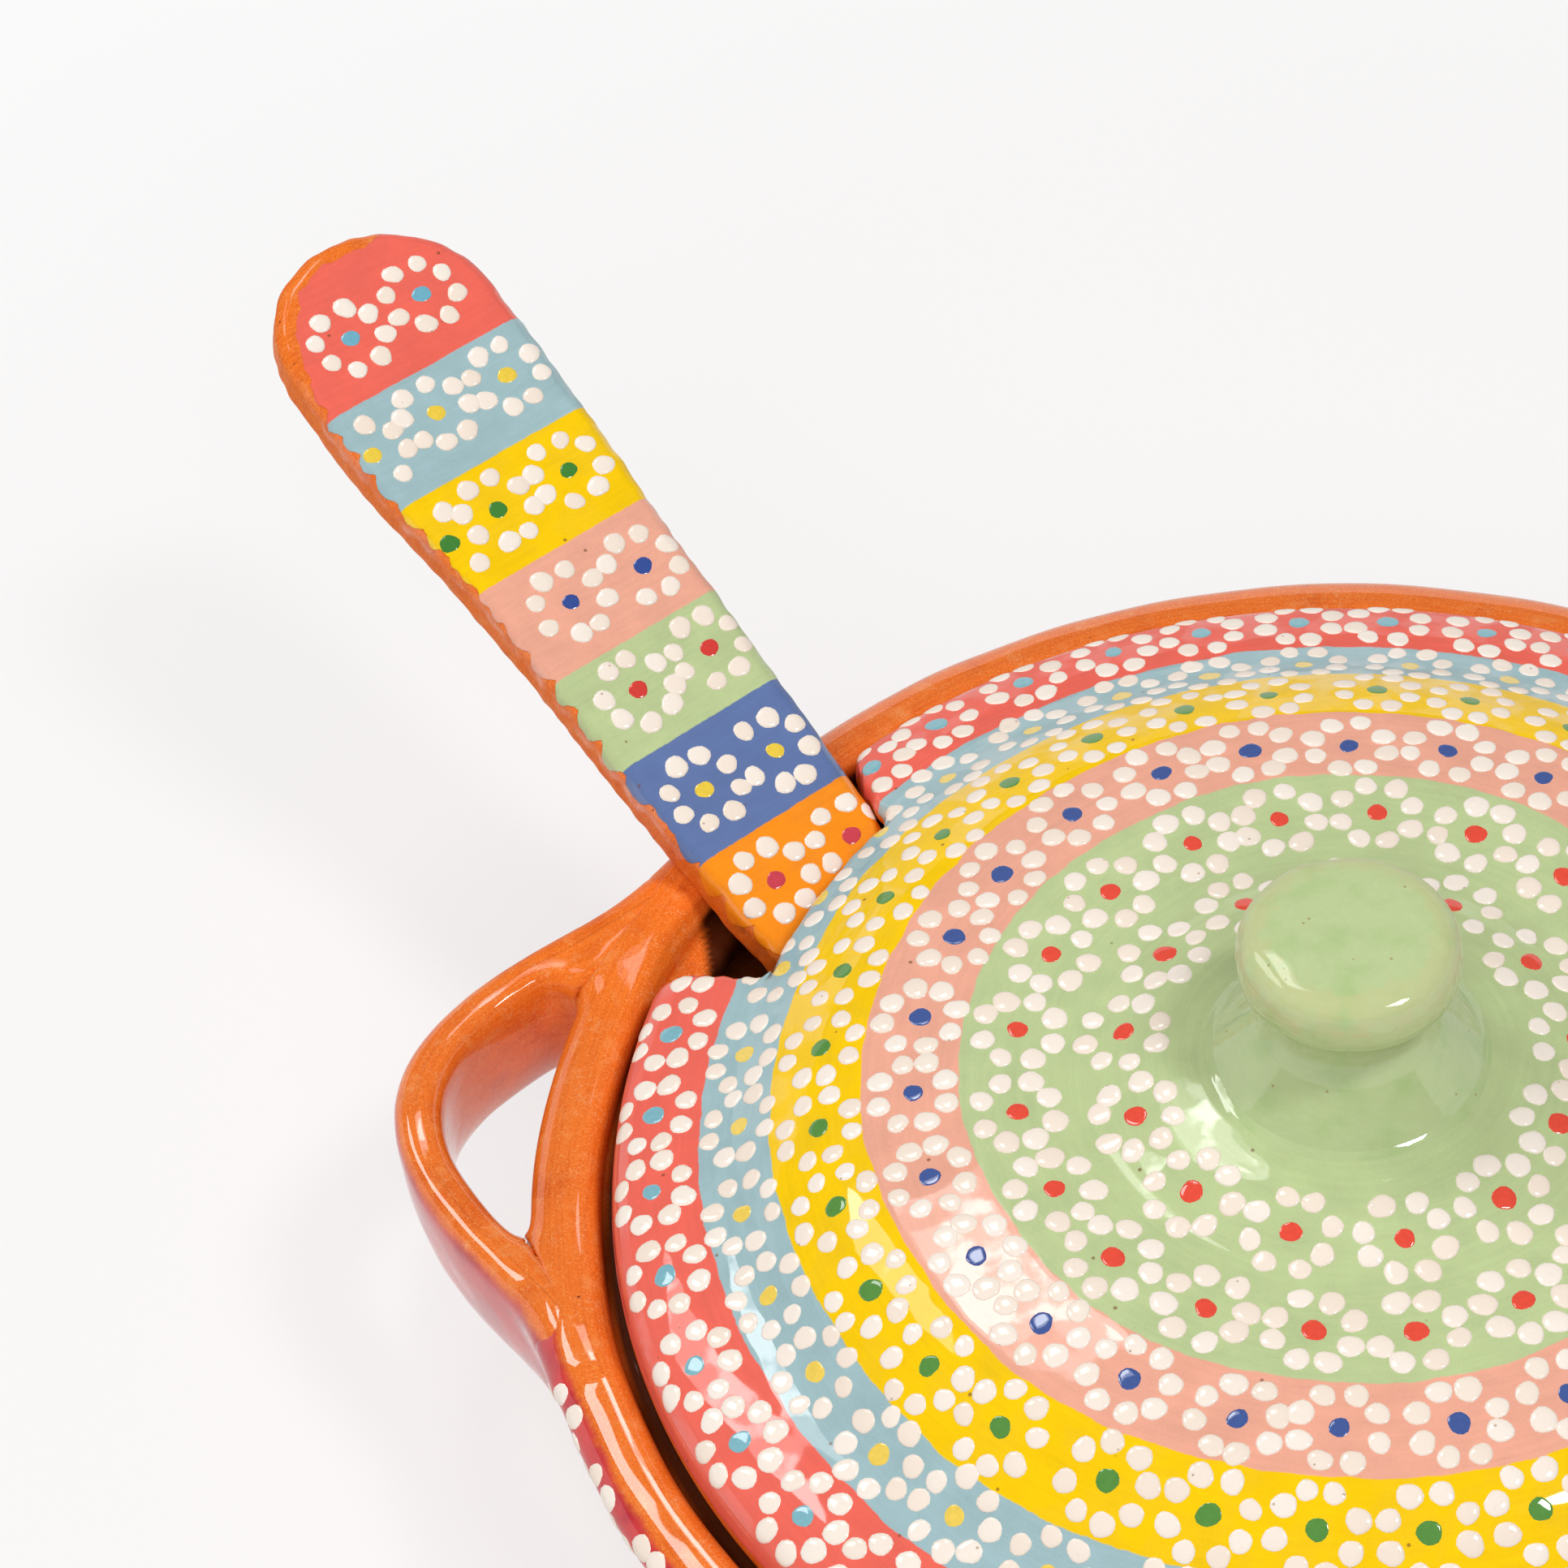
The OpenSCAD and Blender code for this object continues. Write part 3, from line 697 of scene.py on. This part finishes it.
    # The wall round the edge, slightly crowned
    levels = 5
    along = np.roll(edge, -1, 0) - np.roll(edge, 1, 0)
    inward = np.stack([-along[:, 1], along[:, 0]], -1)
    inward /= np.maximum(np.linalg.norm(along, axis=1), 1e-9)[:, None]
    bands = []
    for k in range(1, levels):
        t = k / levels
        bulge = 0.35 * math.sin(math.pi * t) * np.where(np.arange(len(loop)) < n_out, 1, 0.4)
        z = top[loop] * (1 - t) + under[loop] * t
        bands.append(np.c_[edge - inward * bulge[:, None], z])
    base = len(v)
    v = np.vstack([v] + bands)
    size = len(loop)
    lines = [loop] + [base + k * size + np.arange(size) for k in range(levels - 1)]
    lines.append(loop + count)
    for up, dn in zip(lines, lines[1:]):
        f += [(up[j], dn[j], dn[(j + 1) % size], up[(j + 1) % size]) for j in range(size)]

    # Fields: the painted rings, how far into the paint, and the direction of the brush
    paint = np.full(len(v), 10.0)
    paint[count:2 * count] = paint[centre[1]] = -10
    paint[lines[-1]] = -3
    for k, line in enumerate(lines[1:-1]):
        paint[line] = 3.2 - 1.6 * (k + 1)
    rr = np.hypot(v[:, 0], v[:, 1])
    a = np.arctan2(v[:, 1], v[:, 0])
    across = np.interp(rr, DOME[:, 0], run_of(DOME))
    flow = np.stack([rr * np.cos(a) * 0.06, rr * np.sin(a) * 0.06, across], -1)
    ring = rr + waves(a, 31, 2, 9, 0.45) + waves(a, 32, 20, 60, 0.1)
    v[:, 2] += LID_Z
    return Clay(v, f, paint=paint, flow=flow, ring=ring)


def knob():
    """The knob, on a foot that fades out into the dome."""
    foot = [[r, dome_z(r) + h] for r, h in (
        (10, -0.6), (20.5, -0.5), (21.6, -0.12), (21.0, 0.0), (19.5, 0.09), (17.4, 0.16),
        (15.2, 0.22))]
    head = [[12.9, 27.6], [11.6, 30.2], [11.2, 33.0], [12.0, 35.0], [14.1, 36.7], [15.7, 38.8],
            [16.1, 41.2], [15.75, 43.3], [15.0, 44.8], [13.4, 45.8], [11.4, 46.2], [8.5, 46.4],
            [4.5, 46.5], [0, 46.5]]
    p = np.vstack([[[0, foot[0][1]]], spaced(smooth(foot, 6), 0.6), spaced(smooth(head, 8), 0.6)])
    p[-1, 0] = 0

    def wobble(az, r, z):
        up = ease(z, 27, 36)
        lift = waves(az, 43, 1, 2, 0.22) + waves(az + r * 0.1, 44, 3, 8, 0.05)
        return (r + up * (waves(az, 41, 1, 4, 0.25) + waves(az + z * 0.05, 42, 5, 12, 0.06)),
                z + up * lift * ease(r, 0, 12))

    k = turned(p, 240, wobble)
    r, z = np.hypot(k.v[:, 0], k.v[:, 1]), k.v[:, 2]
    k.fields["wear"] = ease(z, 37, 44) * ease(r, 9, 14) * 0.8 + ease(z, 44.5, 46.4) * 0.25
    k.fields["dull"] = ease(z, 43.5, 45.8) * 0.6
    k.v[:, 2] += LID_Z
    return k


# ---- Spoon ----
def spoon_place(p):
    """From the spoon's own frame, +X along the handle and +Z out of the painted face, to the row
    frame."""
    b = math.radians(SPOON_RISE)
    tilt = np.array([[math.cos(b), 0, -math.sin(b)], [0, 1, 0], [math.sin(b), 0, math.cos(b)]])
    return (np.asarray(p, float) @ tilt.T + [REST_D, SPOON_OFF, REST_Z]) @ spin(SPOON_AZ).T


def spoon_outline():
    """Seen from above, from the neck down one side, round the tip and back to the neck."""
    x = np.linspace(NECK_X, TIP_X, 190)
    left = np.interp(x, [NECK_X, 0, 45, 62, 85, TIP_X], [NECK_HALF, 15.6, 16.6, 17.9, 20.0, 20.0])
    right = np.interp(x, [NECK_X, 0, 40, 80, TIP_X], [NECK_HALF, 15.4, 16.9, 18.7, 19.3])
    t = np.radians(np.linspace(90, -90, 70))[1:-1]
    tip_x = TIP_X + 19.6 * np.cos(t) * (1 + 0.02 * np.sin(2 * t))
    tip = np.stack([tip_x, 0.35 + 19.65 * np.sin(t)], -1)
    neck = np.stack([np.full(15, NECK_X), np.linspace(-NECK_HALF, NECK_HALF, 17)[1:-1]], -1)
    outline = np.vstack([np.stack([x, left], -1), tip, np.stack([x, -right], -1)[::-1], neck])
    kernel = np.ones(9) / 9
    ring = np.vstack([outline[-4:], outline, outline[:4]])
    outline = np.stack([np.convolve(ring[:, k], kernel, "valid") for k in range(2)], -1)
    return spaced(np.vstack([outline, outline[:1]]), 0.9)[:-1]


def spoon_handle():
    """The spoon's flat handle, and its points before they are put in place."""
    outline = spoon_outline()
    n = len(outline)
    turn = np.arange(n) / n * 2 * np.pi
    d = np.roll(outline, -1, 0) - np.roll(outline, 1, 0)
    out = np.stack([-d[:, 1], d[:, 0]], -1) / np.linalg.norm(d, axis=1)[:, None]
    dents = waves(turn, 51, 8, 30, 0.1) + waves(turn, 50, 40, 130, 0.07)
    outline = outline + out * dents[:, None]
    middle = np.stack([np.clip(outline[:, 0], NECK_X + NECK_HALF, TIP_X), np.zeros(n)], -1)
    # The section from the middle of the back, round the edge, to the middle of the face: how far
    # in, how high, and how far past the top of the edge
    low_r, top_r = 4.2, 2.6
    turns = [(low_r - low_r * math.cos(a), low_r + low_r * math.sin(a))
             for a in np.radians(np.linspace(-90, 0, 9))]
    turns += [(0, z) for z in np.linspace(low_r, SPOON_T - top_r, 5)[1:-1]]
    turns += [(top_r - top_r * math.cos(a), SPOON_T - top_r + top_r * math.sin(a))
              for a in np.radians(np.linspace(0, 90, 10))]
    past = run_of(np.array(turns)) - run_of(np.array(turns))[-1]
    inward = [0.7, 1.5, 2.5, 3.8, 5.5, 8.0]
    room = np.linalg.norm(outline - middle, axis=1)
    rows, paint = [], []

    def flat_row(extra, edge_r, z):
        share = (extra / np.maximum(room - edge_r, 12.2))[:, None]
        rows.append(np.c_[(outline - out * edge_r) * (1 - share) + middle * share, np.full(n, z)])

    for extra in [11.0] + inward[::-1]:
        flat_row(extra, low_r, 0.0)
        paint.append(np.full(n, -40.0))
    for (inset, z), p in zip(turns, past):
        rows.append(np.c_[outline - out * inset, np.full(n, z)])
        paint.append(np.full(n, p))
    for extra in inward + [11.0]:
        flat_row(extra, top_r, SPOON_T)
        paint.append(np.full(n, extra))
    m = len(rows)
    v = np.stack(rows, 1).reshape(-1, 3)
    f = [tuple(q) for q in sheet_faces(n, m, close_n=True)]
    f += [tuple(i * m for i in range(n)), tuple(i * m + m - 1 for i in range(n))[::-1]]
    # Where the paint laps over the edge: in lobes on one side, straight on the other, short of it
    # at the tip
    left_side = ease(outline[:, 1], -2, 4)
    round_tip = ease(outline[:, 0], TIP_X - 12, TIP_X + 8) * ease(outline[:, 1], -14, -4)
    lobes = np.abs(waves(turn, 54, 22, 48, 1.5)) + waves(turn, 56, 60, 120, 0.25)
    reach = left_side * (1.5 + lobes) + (1 - left_side) * 4.6
    reach = reach * (1 - round_tip) - round_tip * (1.0 + waves(turn, 57, 5, 30, 0.4))
    lumps = rough(v, 52, 9.0, 0.26) + rough(v, 53, 2.6, 0.1)
    v = v + normals_of(v, f) * (lumps * np.where(v[:, 2] > SPOON_T - 0.4, 0.35, 1.0))[:, None]
    ring = v[:, 0] + 0.01 * v[:, 1]
    flow = np.stack([v[:, 1] * 0.1, v[:, 2] * 0.3, v[:, 0]], -1)
    paint = (np.stack(paint, 1) + reach[:, None]).ravel()
    # The neck end follows the bowl's ball, inside its wall
    ball_r = BOWL_R - BOWL_WALL / 2
    ball = BOWL_X + np.sqrt(np.maximum(
        ball_r**2 - (BOWL_Z - v[:, 2]) ** 2 - v[:, 1] ** 2, 0))
    v[:, 0] += (ball - NECK_X) * np.clip((NECK_X + 12 - v[:, 0]) / 12, 0, 1)
    return Clay(spoon_place(v), f, paint=paint, ring=ring, flow=flow), v


def spoon_bowl():
    """The spoon's bowl: part of a hollow ball, tilted a little."""
    low = math.sqrt(BOWL_R**2 - BOWL_LIP_R**2)
    lip_t = math.degrees(math.asin(low / BOWL_R))
    inner_r = BOWL_R - BOWL_WALL
    out = oval((0, 0), BOWL_R, BOWL_R, -90, -lip_t - 3, 40)
    back = oval((0, 0), inner_r, inner_r, -lip_t - 9, -90, 36)
    lip = smooth([out[-1], [27.9, -low + 0.1], [26.9, -low + 0.9], [25.2, -low + 0.7],
                  [23.9, -low - 0.6], back[0]], 6)
    p = np.vstack([spaced(out, 1.2)[:-1], spaced(lip, 0.6)[:-1], spaced(back, 1.2)])
    p[0, 0] = p[-1, 0] = 0
    bowl = turned(p, 200, lambda az, r, z: (
        r * (1 + waves(az, 61, 2, 5, 0.006)), z + waves(az, 62, 2, 6, 0.2) * r / 28))
    t = math.radians(BOWL_TILT)
    tilt = np.array([[math.cos(t), 0, math.sin(t)], [0, 1, 0], [-math.sin(t), 0, math.cos(t)]])
    bowl.v = spoon_place(bowl.v @ tilt.T + [BOWL_X, 0, BOWL_Z])
    return bowl


# ---- Dots ----
def drops(spots, tree, rng, height, tints=None):
    """Low domes of slip on a surface. Each spot is (a point off the surface, the way from it to
    the surface, radius), and each level of a dome is (share of the radius, share of the height)."""
    v, f, tone, tint = [], [], [], []
    n = 14
    levels = ((1.0, -0.3), (0.95, 0.28), (0.78, 0.68), (0.44, 0.93))
    for number, (start, way, radius) in enumerate(spots):
        way = Vector(way).normalized()
        hit, normal, _, _ = tree.ray_cast(Vector(start), way)
        if hit is None or -normal.dot(way) < 0.35:
            continue
        side = normal.orthogonal().normalized()
        other = normal.cross(side)
        phase = rng.uniform(0, 6.28, 3)
        turn, pull = rng.uniform(0, 6.28), rng.uniform(0.01, 0.09)
        base = len(v)
        tall = height * rng.uniform(0.8, 1.2) * radius / 1.9
        ring = []
        for k in range(n):
            a = 2 * math.pi * k / n
            ring.append((a, radius * (1 + pull * math.cos(2 * (a - turn))
                                      + 0.035 * math.cos(3 * a + phase[0])
                                      + 0.025 * math.cos(5 * a + phase[1]))))
        points = [(side * math.cos(a) + other * math.sin(a)) * q * share
                  for share, _ in levels for a, q in ring]
        lifts = [h * tall for _, h in levels for _ in ring] + [tall]
        for p, lift in zip(points + [Vector((0, 0, 0))], lifts):
            # A point that would hang over an edge is drawn in towards the middle
            for share in (1, 0.8, 0.6, 0.4, 0.2, 0):
                on, _, _, _ = tree.ray_cast(hit + p * share + normal * 1.5, -normal, 4.0)
                if on is not None and abs((on - hit).dot(normal)) < 0.75:
                    break
            else:
                break
            v.append(tuple(on + normal * lift))
        if len(v) - base < len(lifts):
            del v[base:]
            continue
        for row in range(base, base + (len(levels) - 1) * n, n):
            for j in range(n):
                j2 = (j + 1) % n
                f.append((row + j, row + j2, row + n + j2, row + n + j))
        top = base + len(levels) * n
        f += [(top - n + j, top - n + (j + 1) % n, top) for j in range(n)]
        f.append(tuple(base + j for j in range(n))[::-1])
        tone += [rng.uniform()] * len(lifts)
        if tints is not None:
            tint += [tints[number][:3]] * len(lifts)
    fields = {"tone": np.array(tone)}
    if tints is not None:
        fields["tint"] = np.array(tint)
    return Clay(np.array(v), f, **fields)


def flowers(body, spots, hearts, tints, tree, rng):
    """The two pieces that hold a body's dots."""
    petals, centres = drops(spots, tree, rng, PETAL_H), drops(hearts, tree, rng, HEART_H, tints)
    petals.piece(f"{body}_flower_petals", body, "slip_dots", petal_material)
    centres.piece(f"{body}_flower_centres", body, "slip_dots", heart_material)


def flower(centre, along, across, rng, long, short, dot):
    """Eight dots round a centre, drawn out along the band, two of them towards each neighbour."""
    tilt, out = rng.normal(0.03, 0.06), []
    for k in range(8):
        a = math.radians(22.5 + 45 * k) + tilt + rng.normal() * 0.045
        q = 1 + rng.normal() * 0.025
        out.append((centre + along * (q * long * math.cos(a)) + across * (q * short * math.sin(a)),
                    dot * rng.uniform(0.9, 1.1)))
    return out


def thinned(petals, room):
    """Leaves out the dots that would land on an earlier one."""
    kept = []
    for p, q in petals:
        if all(np.linalg.norm(p - o) > room for o, _ in kept[-40:] + kept[:10]):
            kept.append((p, q))
    return kept


# Rings of flowers on the lid: radius, how many, azimuth of the first, half length and half width
# of a flower, size of its dots, colour of its centre
LID_FLOWERS = [
    (103.6, 42, 170.1, 5.7, 5.2, 1.86, srgb(128, 184, 196)),
    (90.3, 36, 173.5, 5.8, 4.6, 1.78, srgb(244, 210, 90)),
    (78.0, 32, 177.8, 5.7, 5.3, 1.76, srgb(88, 144, 64)),
    (63.7, 26, 176.2, 5.8, 5.4, 1.88, srgb(66, 90, 154)),
    (48.4, 20, 163.6, 5.8, 5.6, 1.96, srgb(234, 78, 58)),
    (33.0, 13, 162.4, 5.8, 5.5, 1.86, srgb(234, 78, 58))]


def lid_dots(tree):
    rng = np.random.default_rng(71)
    spots, hearts, tints = [], [], []
    sky = LID_Z + 60
    for radius, count, first, long, short, dot, tint in LID_FLOWERS:
        petals = []
        for k in range(count):
            az = math.radians(first + 360 * k / count + rng.normal() * 0.35)
            r = radius + rng.normal() * 0.3
            out = np.array([math.cos(az), math.sin(az)])
            side = np.array([-out[1], out[0]])
            petals += flower(out * r, side, out, rng, long, short, dot)
            hearts.append(((*(out * r), sky), -UP, 1.68 * rng.uniform(0.88, 1.12)))
            tints.append(tint)
        spots += [((*p, sky), -UP, q) for p, q in thinned(petals, 2.8)]
    flowers("lid", spots, hearts, tints, tree, rng)


# Flowers on the spoon, one band at a time: how far along it, each flower's place across and its
# shift along, colour of the centres
SPOON_FLOWERS = [
    (105.6, ((7.6, 0), (-7.2, 1.0)), srgb(112, 178, 200)),
    (86.1, ((3.6, 0.2), (-10.4, 0), (17.0, -1)), srgb(240, 206, 70)),
    (65.8, ((5.4, 0), (-8.7, 0), (15.6, -1)), srgb(64, 132, 52)),
    (45.1, ((5.1, 0.3), (-8.7, -0.5)), srgb(52, 78, 152)),
    (26.5, ((5.1, 0), (-9.1, 0)), srgb(216, 62, 54)),
    (6.0, ((6.5, 0.2), (-7.2, -0.3)), srgb(240, 206, 70)),
    (-12.8, ((6.2, 0), (-8.6, -0.3)), srgb(206, 66, 80))]


def spoon_dots(tree):
    rng = np.random.default_rng(72)
    spots, hearts, tints = [], [], []
    normal = spoon_place([[0, 0, 1]])[0] - spoon_place([[0, 0, 0]])[0]
    off = 30  # where the rays start, over the face
    for x, places, tint in SPOON_FLOWERS:
        petals = []
        for y, dx in places:
            petals += flower(np.array([x + dx, y]), ALONG_Y, ALONG_X, rng, 5.9, 5.9, 1.84)
            hearts.append((spoon_place([[x + dx, y, off]])[0], -normal,
                           1.6 * rng.uniform(0.9, 1.1)))
            tints.append(tint)
        half = np.interp(x, [-20, 40, 106], [14.2, 15.6, 18.0])
        spots += [(spoon_place([[*p, off]])[0], -normal, q)
                  for p, q in thinned(petals, 2.6) if abs(p[1]) < half]
    flowers("spoon", spots, hearts, tints, tree, rng)


def wall_dots(tree):
    """Rows of flowers on the crimson outside of the pot, clear of the handles."""
    rng = np.random.default_rng(73)
    spots, hearts, tints = [], [], []

    def from_outside(turn, z, size):
        out = np.array([math.cos(turn), math.sin(turn), 0])
        return out * 150 + UP * z, -out, size

    for z, count, first, tint in (
            (50.3, 53, 199.4, YELLOW), (36.0, 50, 196, BLUE), (21.8, 44, 199, YELLOW)):
        petals = []
        for k in range(count):
            deg = first + 360 * k / count
            if off_handles(deg) < (26 if z > 45 else 29):
                continue
            a = math.radians(deg)
            low = BACK_SINK * float(ease(math.sin(a), 0.0, 0.6))
            centre = np.array([a * WALL_DOT_R, z - low + rng.normal() * 0.3])
            petals += flower(centre, ALONG_X, ALONG_Y, rng, 5.4, 4.9, 1.9)
            hearts.append(from_outside(a, z - low, 1.5))
            tints.append(tint)
        spots += [from_outside(p[0] / WALL_DOT_R, p[1], q) for p, q in thinned(petals, 3.4)]
    flowers("pot", spots, hearts, tints, tree, rng)


# ---- Building the pieces ----
def crease_fields(clay, centre):
    """Keeps the crease's deposits at one end of a handle, and thins the glaze here and there."""
    turn = np.cross(centre, clay.v[:, :2]) / (np.linalg.norm(centre) * 120)
    clay.fields["join"] = (clay.fields["join"] + 3 * ease(turn, 0.1, 0.25)
                           + 3 * ease(clay.v[:, 2], 49, 53))
    spot = np.linalg.norm(clay.v - DULL_SPOT, axis=1)
    # The glaze is also dulled where shade is painted on the pot
    clay.fields["dull"] = np.maximum(ease(spot, DULL_R, 12) * 0.75,
                                     0.8 * clay.fields.get("painted_shade", 0 * spot))


pot_clay = pot()
handles = [handle(HANDLE_AZ, 81, 1.5), handle(HANDLE_AZ - 180, 91, 0.4)]
plain_pot = pot_clay.tree()
for h in handles:
    own = h.tree()
    centre = h.v[:-2].mean(0)[:2]
    local = ((np.hypot(*(pot_clay.v[:, :2] - centre).T) < 80) & (pot_clay.v[:, 2] > 24)
             & (np.hypot(pot_clay.v[:, 0], pot_clay.v[:, 1]) > 113.5))
    far_end = [np.cross(centre, c.v[:, :2]) > 0 for c in (pot_clay, h)]
    close = np.hypot(h.v[:, 0], h.v[:, 1]) < 133
    for reach, most, end in ((5.0, 2.2, far_end), (6.0, 2.8, [~k for k in far_end])):
        lute(pot_clay, own, reach, local & end[0], most)
        lute(h, plain_pot, reach, close & end[1], most)
    for clay in (pot_clay, h):
        crease_fields(clay, centre)
pot_clay.piece("pot", "pot", "pot_clay", pot_material, "pot_body")
for h, side in zip(handles, ("left", "right")):
    h.piece(f"handle_{side}", "pot", "handle_clay", handle_material, f"{side}_handle")
wall_dots(pot_clay.tree())

lid_clay, knob_clay = lid(), knob()
lid_clay.piece("lid", "lid", "lid_paint", lid_material, "lid_shell")
knob_clay.piece("knob", "lid", "knob_paint", knob_slip(), "lid_knob")
lid_dots(lid_clay.tree())

stick, stick_local = spoon_handle()
scoop = spoon_bowl()
stick_tree, scoop_tree = stick.tree(), scoop.tree()
lute(stick, scoop_tree, 4.0, stick_local[:, 0] < NECK_X + 24, 1.8)
lute(scoop, stick_tree, 4.0, np.ones(len(scoop.v), bool), 1.8)
stick.piece("spoon_stick", "spoon", "spoon_paint", spoon_material, "spoon_handle")
scoop.piece("spoon_scoop", "spoon", "spoon_clay", bare_material, "spoon_bowl")
spoon_dots(stick.tree())


# ---- Stage, light and camera ----
def backdrop():
    """A floor that turns up into a far wall all round."""
    p = smooth([[0, 0], [0.7, 0], [1.6, 0], [3.0, 0], [4.4, 0.25], [5.2, 1.1], [5.5, 2.4]], 6)
    n, m = 96, len(p) - 1
    az = np.linspace(0, 2 * np.pi, n, endpoint=False)[:, None]
    v = np.stack([np.cos(az) * p[None, 1:, 0], np.sin(az) * p[None, 1:, 0],
                  np.ones((n, 1)) * p[None, 1:, 1]], -1)
    f = [tuple(int(k) for k in q) for q in sheet_faces(n, m, close_n=True)[:, ::-1]]
    f += [(i * m, (i + 1) % n * m, n * m) for i in range(n)]
    mesh = bpy.data.meshes.new("backdrop")
    mesh.from_pydata(v.reshape(-1, 3).tolist() + [(0, 0, 0)], [], f)
    mesh.materials.append(floor_material())
    in_scene("backdrop", mesh)


def floor_material():
    """Pale paper that shows a faint shadow near the object and none far off."""
    g = Graph("floor_paper")
    seen = [g.node("ShaderNodeLightPath", {}, out=f"Is {k} Ray")
            for k in ("Camera", "Glossy", "Transmission")]
    some = g.node("ShaderNodeMath", {"operation": "MINIMUM"}, seen[0] + seen[1] + seen[2], 1.0)
    x, y = (g.node("ShaderNodeSeparateXYZ", {}, g.place, out=k) for k in ("X", "Y"))
    far = (x * x + y * y).math("SQRT").step(220.0, 600.0)
    paper = g.node("ShaderNodeBsdfDiffuse", {}, srgb(244, 240, 238))
    glow = g.node("ShaderNodeEmission", {}, srgb(252, 252, 252), 1.0)
    both = g.node("ShaderNodeMixShader", {}, some * (0.69 + far * 0.31), paper, glow)
    g.node("ShaderNodeOutputMaterial", {}, both)
    return g.material


backdrop()
world = bpy.data.worlds.new("studio")
bpy.context.scene.world = world
world.use_nodes = True
world.node_tree.nodes["Background"].inputs["Color"].default_value = (1, 1, 1, 1)
world.node_tree.nodes["Background"].inputs["Strength"].default_value = 0.16


LAMP_AIM = (-0.04, 0.02, 0.06)


def lamp(name, azimuth, elevation, distance, width, height, level):
    """A soft box. Level is what it adds to a white surface that faces it."""
    data = bpy.data.lights.new(name, "AREA")
    data.shape, data.size, data.size_y = "RECTANGLE", width, height
    data.energy = level * math.pi * math.pi * distance**2
    o = in_scene(name, data)
    a, e = math.radians(azimuth), math.radians(elevation)
    way = Vector((math.cos(a) * math.cos(e), math.sin(a) * math.cos(e), math.sin(e)))
    o.location = Vector(LAMP_AIM) + way * distance
    o.rotation_euler = way.to_track_quat("Z", "Y").to_euler()
    return o


lamp("key", -31, 61, 1.3, 0.24, 0.24, 0.33)
lamp("window", 103, 60.5, 1.3, 0.27, 0.31, 0.055)
lamp("window_core", 103, 61, 1.25, 0.18, 0.2, 0.05)
lamp("second_window", 140, 52, 1.3, 0.25, 0.43, 0.15)
# The bounce from two large screens, too soft to be seen in the glaze
for screen in (lamp("front_screen", -101, 47, 1.7, 1.6, 1.1, 0.44),
               lamp("side_screen", 172, 48, 1.7, 1.4, 1.0, 0.19)):
    screen.visible_glossy = False

CAMERA_AT, CAMERA_PITCH, CAMERA_ROLL = (-0.0763, -0.38983, 0.57571), 47.3, -7.32
camera = bpy.data.cameras.new("camera")
camera.sensor_width, camera.lens = 36, 99.2
camera.clip_start, camera.clip_end = 0.05, 20
view = in_scene("camera", camera)
pitched = Matrix.Rotation(math.radians(90 - CAMERA_PITCH), 4, "X")
rolled = Matrix.Rotation(math.radians(CAMERA_ROLL), 4, "Z")
view.matrix_world = Matrix.Translation(CAMERA_AT) @ pitched @ rolled
bpy.context.scene.camera = view
bpy.context.scene.view_settings.view_transform = "Standard"
